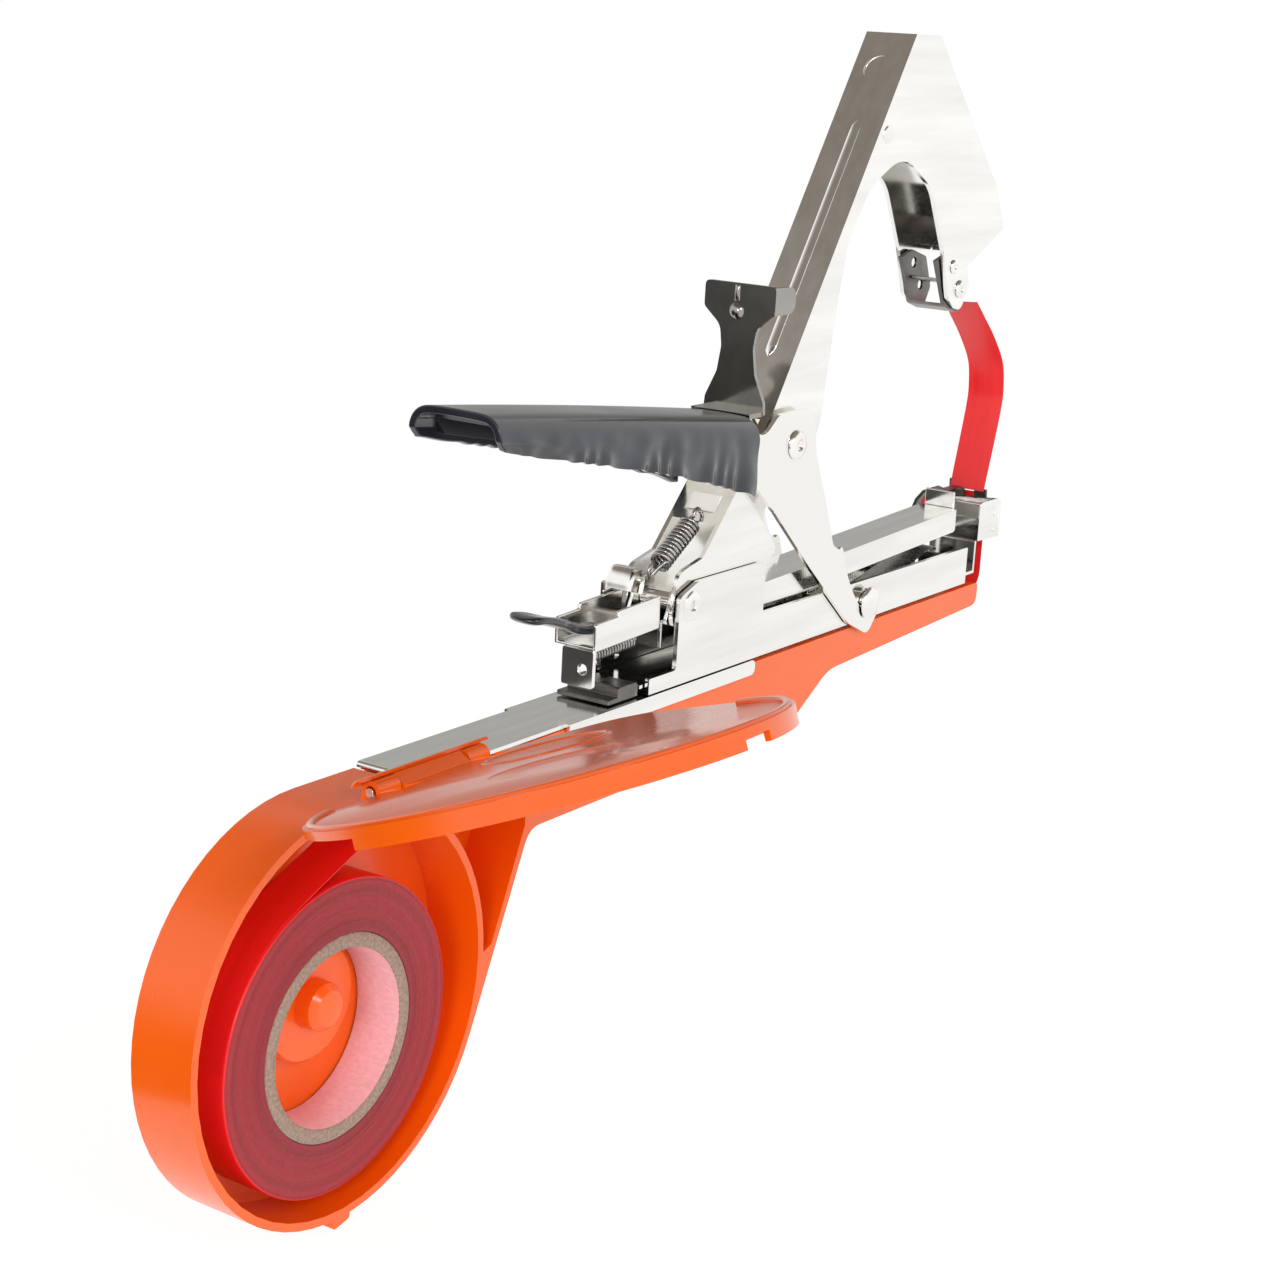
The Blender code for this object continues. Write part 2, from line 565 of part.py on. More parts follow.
def make_pusher(paint):
    rear, front = -31.6, MAG_REAR - GAP
    top, step, low = 3.4, 2.2, -3.6
    outline = sloped(rounded([(rear, low, 0.4), (front, low, 0.4), (front, top, 0.5), (rear + 8, top, 0.5),
                              (rear + 8, step, 0.5), (rear, step, 0.5)], 2))
    housing = plate("pusher_housing", paint["nickel"], outline, -MAG_HALF, MAG_HALF, (), at(PIVOT))
    cut(housing, sloped_block((rear - 1, front + 1), (-MAG_IN, MAG_IN), (low + THIN, top + 1)))
    paddle = [(rear - 19, top + 3.4), (rear - 14, top + 2.4), (rear - 5, top + 0.4), (rear - 0.6, top - 2.4),
              (rear + 5, top - 3.6)]
    room = MAG_IN - GAP
    plate("pusher_knob", paint["grip"], strip(sloped(paddle), 2.4), -room, room, (), at(PIVOT))
    x, z = along_magazine(rear - GAP, low)
    side = -MAG_HALF - 0.4
    latch = rounded([(side, z - 7.4, 0.6), (2.2, z - 7.4, 0.6), (2.2, z + 0.6, 0.6), (side, z + 0.6, 0.6)], 3)
    plate("latch_plate", paint["nickel"], latch, x - SHEET, x, [circle((-3.0, z - 3.6), 1.1, 14)], at(PIVOT), "x")
    height = low - GAP - FOLLOWER_SPRING_R - 0.3
    rod = [at(along_magazine(rear, height), -1.5), at(along_magazine(front - 4, height), -1.5)]
    mesh_object("guide_rod", tube_mesh(rod, 0.7, 10), paint["nickel"], at(PIVOT))
    ends = [Vector(at(along_magazine(place, height), -1.5)) for place in (rear + 1.5, front - 5)]
    mesh_object("follower_spring", tube_mesh(helix(*ends, FOLLOWER_SPRING_R, 10, 8), 0.3, 5),
                paint["spring_steel"], at(PIVOT))


FOLLOWER_SPRING_R = 1.4


# Arm

RIVET_R = 1.0
HEAD_RIVETS = ((HEAD[0] - 7.2, HEAD[1] + 0.4), (HEAD[0] - 3.0, HEAD[1] - 5.2))
CATCH_AXIS = (HEAD[0] - 8.2, HEAD[1] - 3.0)
WEB_END_Z = 32.4            # the arm's web ends here, and its side plates go on to the pivot
HOOK_WINDOW = (34.2, 37.6)  # opening in the web that takes the return spring's hook, from z to z
SPRING_WINDOW = (42.0, 53.0)    # opening in the web for the torsion spring's leg
HOOK_BAR = (69.2, 33.6)     # outer face of the web between its end and the hook window


def at_head(points):
    """Moves points given from the head's rear corner, with any corner radius, to their place."""
    return [(HEAD[0] + x, HEAD[1] + z, *radius) for x, z, *radius in points]


def make_arm(paint):
    spine = rounded([(140.4, ARM_TOP_Z), (88.2, 55.6, 30.0), (73.8, 38.2, 20.0), (62.4, 26.1)], 6)
    foot = [(53.0, 24.0, 4.0), (51.4, 11.8, 4.0), (62.5, 11.4, 3.0), (66.0, 15.0, 2.0), (86.0, 19.0, 2.0),
            (93.4, 23.4, 1.5), (84.0, 33.0, 6.0)]
    throat = [(104.0, 42.0, 4.0), (108.6, 50.0, 8.0), (112.2, 74.0, 20.0), (115.4, 90.0, 12.0),
              (124.0, 102.0, 14.0), (138.6, 109.0, 14.0), (154.0, 101.0, 12.0)]
    head = at_head([(-13.0, 4.0, 8.0), (-8.6, -7.4, 2.5), (-2.0, -11.0, 3.0), (2.4, -5.0, 3.0), (0.0, 0.0, 0.5),
                    (18.9, 8.7, 1.0), (12.7, 19.2, 2.0)])
    outline = rounded(spine + foot + throat + head + [(152.3, ARM_TOP_Z, 1.5)], 6)
    bores = [circle(PIVOT, PIVOT_R + GAP), circle(HANDLE_PIVOT, PIVOT_R + GAP)]
    bores += [circle(rivet, RIVET_R + GAP, 14) for rivet in HEAD_RIVETS]
    arm = plate("clincher_arm", paint["nickel"], outline, -ARM_HALF, ARM_HALF, bores, at(PIVOT))
    inner = strip(spine, 2 * SHEET)[:len(spine)]
    above = Vector(inner[0]) + (Vector(inner[0]) - Vector(inner[1])).normalized() * 5
    web = [point for point in inner if point[1] > WEB_END_Z + 0.5]
    beyond = FRONT_X + 40
    cavity = [tuple(above), *web, (web[-1][0] - 4, WEB_END_Z), (45, WEB_END_Z), (45, 0), (beyond, 0),
              (beyond, above.y)]
    cut(arm, prism_mesh(cavity, -ARM_IN, ARM_IN))
    for (low, high), half in ((HOOK_WINDOW, 3.8), (SPRING_WINDOW, 4.2)):
        cut(arm, block_mesh((60, 100), (-half, half), (low, high)))
    return arm


def make_head(paint):
    inside = ARM_IN - GAP
    origin = at(PIVOT)
    shape = rounded(at_head([(-14.0, 2.0), (-8.4, 3.6, 1.0), (-1.0, 1.6, 1.0), (2.6, -6.0, 1.5), (-0.6, -11.4, 2.0),
                             (-7.6, -9.4, 2.0)]), 3)
    bores = [circle(rivet, RIVET_R + GAP, 14) for rivet in HEAD_RIVETS]
    insert = plate("head_insert", paint["dark_steel"], shape, -inside, inside, bores, origin)
    room = inside - SHEET
    hollow = at_head([(-20, 8), (10, 8), (10, -8.6), (-0.5, -9.8), (-20, -6.6)])
    cut(insert, prism_mesh(hollow, -room, room))


def make_head_fittings(paint):
    inside = ARM_IN - GAP
    origin = at(PIVOT)
    clincher = at_head([(3.6, 3.4), (17.0, 9.6)])
    plate("clincher_plate", paint["dark_steel"], strip(clincher, 1.4), -inside, inside, (), origin)
    cutter = at_head([(13.6, 10.2), (9.0, 18.2)])
    plate("cutter_blade", paint["spring_steel"], strip(cutter, 0.7), -inside + 0.5, inside - 0.5, (), origin)
    for n, rivet in enumerate(HEAD_RIVETS, 1):
        for side, sign in (("near", -1), ("far", 1)):
            limits = sorted((sign * (inside - SHEET + GAP), sign * (ARM_HALF + 0.1)))
            shank = pin_mesh(rivet, RIVET_R, *limits, (sign,), 1.2 + 0.5 * n, 0.5 + 0.2 * n, 16)
            mesh_object(f"head_rivet_{side}_{n}", shank, paint["nickel"], origin)
    catch = at_head([(-8.6, -3.0), (-3.0, -3.6), (1.0, -4.4)])
    room = inside - SHEET - GAP
    plate("tape_catch", paint["spring_steel"], strip(catch, THIN), -room, room, (), at(CATCH_AXIS))


# Handle

def pin_path(steps=16):
    """Where the base's hook pin lies in the handle as the arm closes."""
    path = []
    for i in range(steps + 1):
        arm_turn = ARM_CLOSES * i / steps
        carried = turned_about(HANDLE_PIVOT, PIVOT, arm_turn)
        moved = (HANDLE_PIVOT[0] + HOOK[0] - carried[0], HANDLE_PIVOT[1] + HOOK[1] - carried[1])
        path.append(turned_about(moved, HANDLE_PIVOT, -arm_turn * (1 + HANDLE_RATIO)))
    return path


GRIP_REAR, GRIP_FRONT = -16.0, 75.6
GRIP_SKIN = 1.5
GRIP_HIGH, GRIP_LOW = 65.2, 58.4    # top and lower edge of the grip's rear end


def handle_top(x):
    """Height of the handle's top web under the grip."""
    t = (x - GRIP_REAR) / (GRIP_FRONT - GRIP_REAR)
    return GRIP_HIGH - 8.6 * t - 1.3 * t * t - GRIP_SKIN - GAP


def handle_low(x):
    """Height of the lower edge of the handle's side plates."""
    t = min(1.0, max(0.0, (x - GRIP_REAR) / (GRIP_FRONT - GRIP_REAR)))
    return GRIP_LOW - 17.0 * t - 3.2 * t ** 4 + GRIP_SKIN * 0.8 + GAP


def make_handle(paint):
    rear = GRIP_REAR + 4.0
    top = [(x, handle_top(x)) for x in (rear, 0, 20, 40, 60, 74)]
    low = [(x, handle_low(x)) for x in (66, 50, 34, 18, 2, rear + 4.0)]
    clear = HOOK_R + GAP
    path = pin_path()
    edge = []
    for i, point in enumerate(path[2:], 2):
        down = (Vector(path[i - 1]) - Vector(point)).normalized()
        edge.append(tuple(Vector(point) + Vector((down.y, -down.x)) * (clear + 0.1)))
    crest = edge[-1]
    ear = [(80.0, 50.0, 5.0), (86.0, 54.6, 4.0), (101.0, 55.0, 6.0), (103.6, 44.0, 6.0)]
    front = [(109.2, 33.0, 12.0), (114.6, 21.5, 3.0), (117.6, crest[1] + 0.6, 1.0),
             (crest[0] - 1.0, crest[1] + 1.4, 1.5)]
    seat = arc(path[1], clear + 0.15, 200, 262, 5) + arc(HOOK, clear + 0.1, 276, 358, 7)
    tine = [(HOOK[0] + clear + 0.1, HOOK[1] + 2.6), (HOOK[0] + clear + 3.0, HOOK[1] + 2.0, 1.5),
            (HOOK[0] + clear + 2.6, HOOK[1] - 3.2, 3.0), (HOOK[0] + 0.8, HOOK[1] - 8.0, 3.0),
            (HOOK[0] - 9.0, HOOK[1] - 3.6, 6.0), (104.3, 17.8, 30.0), (86.9, 32.9, 20.0), (76.5, 41.0, 3.0)]
    outline = rounded(top + ear + front + edge[::-1] + seat + tine + low, 5)
    handle = plate("handle_lever", paint["nickel"], outline, -HANDLE_HALF, HANDLE_HALF,
                   [circle(HANDLE_PIVOT, PIVOT_R + GAP)], at(HANDLE_PIVOT))
    under = [(x, handle_top(x) - SHEET) for x in (rear - 6, 0, 20, 40, 60, 74)]
    cavity = under + [(74.0, 70), (150, 70), (150, -20), (rear - 6, -20)]
    cut(handle, prism_mesh(cavity, -HANDLE_IN, HANDLE_IN))
    return handle


def make_grip(paint):
    xs = [GRIP_REAR + (GRIP_FRONT - GRIP_REAR) * i / 14 for i in range(15)]
    outer = [(x, handle_top(x) + GAP + GRIP_SKIN) for x in xs]
    low = [(x, handle_low(x) - GAP - GRIP_SKIN * 0.8) for x in xs[::-1]]
    outline = rounded([(*outer[0], 1.5), *outer[1:], *low[:-1], (*low[-1], 1.0)])
    half = HANDLE_HALF + GAP + GRIP_SKIN
    grip = plate("handle_grip", paint["grip"], outline, -half, half, (), at(HANDLE_PIVOT))
    inner = [(x, handle_top(x) + GAP) for x in [GRIP_REAR - 2, *xs[1:], GRIP_FRONT + 4]]
    room = HANDLE_HALF + GAP
    cut(grip, prism_mesh(inner + [(GRIP_FRONT + 4, 0), (GRIP_REAR - 2, 0)], -room, room))
    return grip


def make_thumb_leaf(paint):
    """The hourglass plate that stands up behind the arm, with its near ear bent forward."""
    top, waist, foot = 82.3, 68.5, handle_top(80) + 1.4
    half = [(8.9, top, 1.2), (8.9, top - 5.6, 1.5), (4.6, waist + 4.5, 4.0), (4.0, waist, 4.0), (4.8, waist - 5.5, 4.0),
            (7.4, foot + 3, 3.0), (7.6, foot, 0.5)]
    outline = rounded(half + [(-y, z, *r) for y, z, *r in half[::-1]], 4)
    leaf = plate("thumb_leaf", paint["dark_steel"], outline, 81.4, 81.4 + SHEET, (), at(HANDLE_PIVOT), "x")
    ear = rounded([(81.5, top - 6.2), (90.0, top - 6.0, 2.6), (90.0, top - 0.4, 2.6), (81.5, top - 0.2)], 4)
    join(leaf, prism_mesh(ear, -8.8, -8.8 + SHEET))
    join(leaf, block_mesh((76.2, 82.0), (-7.4, 7.4), (foot + 0.1, foot + 0.1 + SHEET)))
    return leaf


def make_handle_pins(paint):
    shank = HANDLE_HALF + GAP
    mesh_object("handle_pivot_pin", pin_mesh(HANDLE_PIVOT, PIVOT_R, -shank, shank, (-1, 1), 3.3, 1.0),
                paint["nickel"], at(HANDLE_PIVOT))


# Springs

SPRING_TAB = (52.4, 22.6)   # in front of the base's spring tab
SPRING_R, SPRING_WIRE = 2.0, 0.45


def make_springs(paint):
    one, two = Vector(at(HOOK_BAR)), Vector(at(SPRING_TAB))
    along = (one - two).normalized()
    coil = helix(two + along * 3.6, one - along * 3.8, SPRING_R, 11, 8)
    path = [two + along * 0.9, two + along * 2.0, *coil, one - along * 2.9, one - along * 2.0]
    mesh_object("return_spring", tube_mesh(path, SPRING_WIRE, 6), paint["spring_steel"])
    reach = PIVOT_R + GAP + 0.75
    low = ARM_IN - GAP - 0.5
    coil = helix(at(HANDLE_PIVOT, -low), at(HANDLE_PIVOT, low - 3.2), reach, 6, 10)
    leg = [coil[-1] + Vector((-2.0, 0.5, 2.5)), coil[-1] + Vector((-1.4, 0.5, 6.5))]
    mesh_object("torsion_spring", tube_mesh([*coil, *leg], 0.4, 6), paint["spring_steel"], at(HANDLE_PIVOT))
    low = BASE_FLOOR_Z + THIN + GAP
    side = BASE_IN - GAP
    tab = block_mesh((BASE_REAR + 1.0, BASE_REAR + 7.0), (side - 1.0, side), (low, 22.0))
    tongue = [(BASE_REAR + 6.2, 20.6), (BASE_REAR + 6.8, 23.0), (BASE_REAR + 5.4, 24.8), (BASE_REAR + 3.2, 24.4),
              (BASE_REAR + 2.0, 20.8)]
    post = mesh_object("spring_tab", tab, paint["nickel"])
    join(post, prism_mesh(strip(tongue, THIN), -1.4, side - 0.2))


# Jaw

def make_jaw(paint):
    rear, front = FRONT_X + 5.6, FRONT_X + 17.8
    side = rounded([(rear, JAW_LOW), (front, JAW_LOW - 0.4, 0.8), (front, JAW_TOP - 1, 1.2),
                    (front - 2.2, JAW_TOP, 1.0), (rear, JAW_TOP, 0.8)], 4)
    guide = plate("jaw_guide", paint["nickel"], side, -BASE_HALF, BASE_HALF)
    cut(guide, block_mesh((rear + SHEET, front + 2), (-BASE_IN, BASE_IN), (0, JAW_TOP + 4)))
    rib = [(JAW_X - 4.2, JAW_LOW + 0.6), (JAW_X - 1.4, JAW_LOW + 2.0), (JAW_X - 1.0, JAW_TOP - 2),
           (JAW_X - 1.4, JAW_TOP + 3.8)]
    half = TAPE_WIDTH / 2 + 0.6
    lugs = plate("tape_guide", paint["dark_steel"], strip(rib, THIN), -half, half)
    near, far = LUG_SLOT
    cut(lugs, block_mesh((JAW_X - 5, JAW_X + 2), (near, far), (JAW_TOP - 1.4, JAW_TOP + 5)))
    cut(lugs, block_mesh((JAW_X - 5, JAW_X + 2), (-8, near + 0.1), (JAW_TOP + 2.2, JAW_TOP + 5)))


LUG_SLOT = (-1.8, 1.0)      # from y to y, between the tape guide's two lugs
PRESSER_AXIS = (LUG_SLOT[1] + 0.6, JAW_TOP + 1.9)   # (y, z)
PRESSER_X = FRONT_X + 0.9


def make_presser(paint):
    """The sprung lever that presses the tape's cut end to the guide, with a red tip to push it by."""
    y, z = PRESSER_AXIS
    origin = (PRESSER_X, y, z)
    path = [(y, z), (y + 2.6, z + 0.7), (y + 5.0, z - 0.4), (y + 6.9, z - 2.8), (y + 7.9, z - 5.6)]
    near, far = PRESSER_X, PRESSER_X + 3.6
    lever = plate("tape_presser", paint["dark_steel"], strip(path, THIN), near, far, (), origin, "x")
    join(lever, block_mesh((PRESSER_X + 3.0, JAW_X - 2.6), (y - 0.35, y + 2.2), (z - 0.35, z + 0.35)))
    tip = rounded([(y + 4.6, z - 1.4, 0.8), (y + 6.2, z - 3.4, 0.8), (y + 4.2, z - 4.9, 1.2),
                   (y + 2.6, z - 2.9, 1.2)], 4)
    plate("presser_tip", paint["tape"], tip, near + 0.4, far - 0.4, (), origin, "x")


def make_all():
    for old in list(bpy.data.objects):
        bpy.data.objects.remove(old, do_unlink=True)
    paint = make_materials()
    make_cassette(paint)
    make_lid(paint)
    make_lid_pin(paint)
    make_roll(paint)
    make_tape(paint)
    make_saddle(paint)
    make_base(paint)
    make_base_pins(paint)
    make_base_fittings(paint)
    make_magazine(paint)
    make_pusher(paint)
    make_arm(paint)
    make_head(paint)
    make_head_fittings(paint)
    make_handle(paint)
    make_grip(paint)
    make_thumb_leaf(paint)
    make_handle_pins(paint)
    make_springs(paint)
    make_jaw(paint)
    make_presser(paint)


make_all()
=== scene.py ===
"""Finishes and fine pieces for a hand-held tape gun that ties plants and bags.

Laid out as a Blender add-on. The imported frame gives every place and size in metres, with X forward from the
roll to the jaw, Z up, and the cassette's open side at -Y. Shapes here are drawn in millimetres.
"""

import json
import math

import bmesh
import bpy
from bpy.props import FloatProperty, FloatVectorProperty, IntProperty, PointerProperty
from mathutils import Matrix, Vector, noise

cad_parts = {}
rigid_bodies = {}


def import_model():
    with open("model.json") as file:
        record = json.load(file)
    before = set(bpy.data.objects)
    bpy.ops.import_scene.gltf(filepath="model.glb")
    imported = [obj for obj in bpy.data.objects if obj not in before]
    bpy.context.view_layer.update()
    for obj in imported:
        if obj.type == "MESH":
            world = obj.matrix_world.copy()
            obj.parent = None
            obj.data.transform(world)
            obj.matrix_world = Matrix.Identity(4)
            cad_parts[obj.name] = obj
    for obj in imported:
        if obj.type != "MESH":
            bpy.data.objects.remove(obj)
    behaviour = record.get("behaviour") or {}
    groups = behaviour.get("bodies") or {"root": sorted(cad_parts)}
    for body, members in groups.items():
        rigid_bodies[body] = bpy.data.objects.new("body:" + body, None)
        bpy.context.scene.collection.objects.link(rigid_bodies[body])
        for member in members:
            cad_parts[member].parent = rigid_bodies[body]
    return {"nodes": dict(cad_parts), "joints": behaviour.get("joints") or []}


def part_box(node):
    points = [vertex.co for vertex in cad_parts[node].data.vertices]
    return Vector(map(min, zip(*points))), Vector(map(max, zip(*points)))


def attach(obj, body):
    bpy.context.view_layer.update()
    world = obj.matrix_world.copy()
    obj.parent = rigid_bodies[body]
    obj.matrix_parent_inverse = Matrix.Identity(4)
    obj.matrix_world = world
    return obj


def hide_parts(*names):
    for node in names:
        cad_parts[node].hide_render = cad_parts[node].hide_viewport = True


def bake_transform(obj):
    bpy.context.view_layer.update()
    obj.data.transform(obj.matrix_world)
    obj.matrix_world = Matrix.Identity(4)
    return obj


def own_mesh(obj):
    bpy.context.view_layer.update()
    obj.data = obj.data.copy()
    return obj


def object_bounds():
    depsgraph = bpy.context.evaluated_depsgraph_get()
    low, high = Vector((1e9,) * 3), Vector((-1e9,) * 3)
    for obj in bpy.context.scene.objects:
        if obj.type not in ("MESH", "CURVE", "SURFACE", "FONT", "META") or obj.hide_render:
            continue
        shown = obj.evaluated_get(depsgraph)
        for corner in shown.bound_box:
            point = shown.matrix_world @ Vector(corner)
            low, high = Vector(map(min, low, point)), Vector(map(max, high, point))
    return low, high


bl_info = {
    "name": "Tape Gun Finishes",
    "version": (1, 0, 0),
    "blender": (4, 5, 0),
    "location": "View3D > Sidebar > Tape Gun",
    "description": "Plated steel, moulded case, film and springs for a hand-held tape gun",
    "category": "Object",
}

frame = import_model()
CAD_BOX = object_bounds()
NODES = frame["nodes"]
JOINTS = {joint["name"]: joint for joint in frame["joints"]}
MM = 0.001


# Places that come from the frame, in millimetres

def joint_place(name):
    return Vector(JOINTS[name]["pos_m"]) / MM


def node_box(name):
    low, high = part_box(name)
    return low / MM, high / MM


PIVOT = joint_place("arm_hinge")
HANDLE_PIVOT = joint_place("handle_hinge")
ROLL = joint_place("roll_spin")
LID_HINGE = joint_place("lid_hinge")
LID_TURN = math.radians(JOINTS["lid_hinge"]["range_deg"][1])

# Sizes of the CAD pieces that the frame does not give
DRUM, DRUM_R = (-50.0, -41.1), 40.0     # the cassette's drum
LID_FACE = -8.8                         # the closed lid's outer face
TAPE_LEVEL = -4.0                       # the film's height in the neck
PIN_SHANK = 2.0                         # radius of the pivot pins between their heads


class TapeGunSizes(bpy.types.PropertyGroup):
    plate_edge: FloatProperty(name="Plate edge", description="Radius on the edges of the pressed plates",
                              default=0.00028, min=0.0, max=0.001, precision=5, unit="LENGTH")
    case_edge: FloatProperty(name="Case edge", description="Radius on the edges of the moulded case",
                             default=0.0005, min=0.0, max=0.001, precision=5, unit="LENGTH")
    film: FloatProperty(name="Film", description="Thickness of the tape film",
                        default=0.00016, min=0.00005, max=0.0004, precision=5, unit="LENGTH")
    return_wire: FloatProperty(name="Return wire", description="Wire radius of the arm's return spring",
                               default=0.00045, min=0.0002, max=0.0006, precision=5, unit="LENGTH")
    return_turns: IntProperty(name="Return turns", description="Turns of the arm's return spring",
                              default=13, min=4, max=24)
    windings: IntProperty(name="Windings", description="Rings of film that show on the roll's face",
                          default=34, min=8, max=80)
    grip_wrinkle: FloatProperty(name="Grip wrinkle", description="Depth of the vinyl's folds along its lower edge",
                                default=0.0005, min=0.0, max=0.001, precision=5, unit="LENGTH")


class TapeGunColours(bpy.types.PropertyGroup):
    nickel: FloatVectorProperty(name="Nickel", description="Plated pressed steel", subtype="COLOR",
                                default=(0.87, 0.86, 0.83), min=0.0, max=1.0)
    dark_steel: FloatVectorProperty(name="Dark steel", description="Hardened inner plates", subtype="COLOR",
                                    default=(0.17, 0.16, 0.15), min=0.0, max=1.0)
    spring_steel: FloatVectorProperty(name="Spring steel", description="Coil springs and strip", subtype="COLOR",
                                      default=(0.42, 0.41, 0.39), min=0.0, max=1.0)
    orange: FloatVectorProperty(name="Orange", description="Moulded case and lid", subtype="COLOR",
                                default=(0.88, 0.118, 0.0016), min=0.0, max=1.0)
    vinyl: FloatVectorProperty(name="Vinyl", description="Dipped handle grip", subtype="COLOR",
                               default=(0.012, 0.015, 0.022), min=0.0, max=1.0)
    film_red: FloatVectorProperty(name="Film red", description="Tape film", subtype="COLOR",
                                  default=(0.80, 0.012, 0.014), min=0.0, max=1.0)
    roll_face: FloatVectorProperty(name="Roll face", description="Edges of the wound film", subtype="COLOR",
                                   default=(0.30, 0.012, 0.020), min=0.0, max=1.0)
    card: FloatVectorProperty(name="Card", description="Cut edge of the roll's core", subtype="COLOR",
                              default=(0.33, 0.24, 0.185), min=0.0, max=1.0)
    core_lining: FloatVectorProperty(name="Core lining", description="Paper inside the roll's core", subtype="COLOR",
                                     default=(0.80, 0.44, 0.47), min=0.0, max=1.0)


def sizes():
    return bpy.context.scene.tape_gun_sizes


def colours():
    return bpy.context.scene.tape_gun_colours


# Finishes

def finish(name, colour, metallic, roughness, **sockets):
    """A material with one Principled shader, and its plain numbers on the shader's own sockets."""
    made = bpy.data.materials.get(name)
    if made:
        return made, None
    made = bpy.data.materials.new(name)
    made.use_nodes = True
    shader = made.node_tree.nodes["Principled BSDF"]
    shader.inputs["Base Color"].default_value = (*colour, 1.0)
    shader.inputs["Metallic"].default_value = metallic
    shader.inputs["Roughness"].default_value = roughness
    for socket, value in sockets.items():
        shader.inputs[socket.replace("_", " ")].default_value = value
    return made, shader


def texture(tree, kind, scale, stretch=(1, 1, 1), **settings):
    """A procedural texture on object coordinates, scaled in turns per metre and stretched along the axes."""
    nodes, links = tree.nodes, tree.links
    place = nodes.new("ShaderNodeTexCoord")
    mapping = nodes.new("ShaderNodeMapping")
    mapping.inputs["Scale"].default_value = stretch
    made = nodes.new(kind)
    made.inputs["Scale"].default_value = scale
    for key, value in settings.items():
        made.inputs[key].default_value = value
    links.new(place.outputs["Object"], mapping.inputs["Vector"])
    links.new(mapping.outputs["Vector"], made.inputs["Vector"])
    return made


def spread(tree, source, target, low, high):
    """Feeds a texture's 0 to 1 into a socket as low to high."""
    spread_out = tree.nodes.new("ShaderNodeMapRange")
    spread_out.inputs["From Min"].default_value = 0.3
    spread_out.inputs["From Max"].default_value = 0.7
    spread_out.inputs["To Min"].default_value = low
    spread_out.inputs["To Max"].default_value = high
    tree.links.new(source, spread_out.inputs["Value"])
    tree.links.new(spread_out.outputs["Result"], target)


def tint(tree, source, target, one, two):
    """Feeds a texture's 0 to 1 into a colour socket, from one colour to the other."""
    ramp = tree.nodes.new("ShaderNodeValToRGB")
    ramp.color_ramp.elements[0].position = 0.32
    ramp.color_ramp.elements[0].color = (*one, 1.0)
    ramp.color_ramp.elements[1].position = 0.68
    ramp.color_ramp.elements[1].color = (*two, 1.0)
    tree.links.new(source, ramp.inputs["Fac"])
    tree.links.new(ramp.outputs["Color"], target)


def bump(tree, sources, shader):
    """Stacks (texture output, depth in metres) pairs as bumps on the shader."""
    above = None
    for source, depth in sources:
        step = tree.nodes.new("ShaderNodeBump")
        step.inputs["Strength"].default_value = 1.0
        step.inputs["Distance"].default_value = depth
        tree.links.new(source, step.inputs["Height"])
        if above:
            tree.links.new(above.outputs["Normal"], step.inputs["Normal"])
        above = step
    tree.links.new(above.outputs["Normal"], shader.inputs["Normal"])


def scaled(colour, factor):
    return tuple(min(1.0, channel * factor) for channel in colour)


def plated(name, colour, roughness, waves=0.00006):
    """Bright plating over pressed sheet: soft waves, drawn streaks, fine scratches and cloudy patches."""
    made, shader = finish(name, colour, 1.0, roughness)
    if shader:
        tree = made.node_tree
        cloud = texture(tree, "ShaderNodeTexNoise", 90, Detail=3.0)
        wave = texture(tree, "ShaderNodeTexNoise", 55, Detail=1.0)
        streak = texture(tree, "ShaderNodeTexNoise", 420, (0.05, 1, 0.6), Detail=4.0)
        scratch = texture(tree, "ShaderNodeTexNoise", 2600, (0.03, 0.6, 1), Detail=2.0)
        spread(tree, cloud.outputs["Fac"], shader.inputs["Roughness"], roughness * 0.75, roughness * 1.5)
        tint(tree, streak.outputs["Fac"], shader.inputs["Base Color"], scaled(colour, 0.93), scaled(colour, 1.04))
        bump(tree, ((wave.outputs["Fac"], waves), (streak.outputs["Fac"], 0.000004),
                    (scratch.outputs["Fac"], 0.0000015)), shader)
    return made


def dark_plate():
    colour = colours().dark_steel
    made, shader = finish("dark steel plate", colour, 1.0, 0.32)
    if shader:
        tree = made.node_tree
        cloud = texture(tree, "ShaderNodeTexNoise", 160, Detail=4.0)
        grain = texture(tree, "ShaderNodeTexNoise", 1800, (0.1, 1, 1), Detail=2.0)
        spread(tree, cloud.outputs["Fac"], shader.inputs["Roughness"], 0.22, 0.42)
        tint(tree, cloud.outputs["Fac"], shader.inputs["Base Color"], scaled(colour, 0.7), scaled(colour, 1.35))
        bump(tree, ((cloud.outputs["Fac"], 0.00003), (grain.outputs["Fac"], 0.000003)), shader)
    return made


def spring_wire(name="oiled spring wire", colour=None):
    colour = colour or colours().spring_steel
    made, shader = finish(name, colour, 1.0, 0.24)
    if shader:
        tree = made.node_tree
        oil = texture(tree, "ShaderNodeTexNoise", 500, Detail=2.0)
        spread(tree, oil.outputs["Fac"], shader.inputs["Roughness"], 0.16, 0.36)
        tint(tree, oil.outputs["Fac"], shader.inputs["Base Color"], scaled(colour, 0.72), scaled(colour, 1.15))
    return made


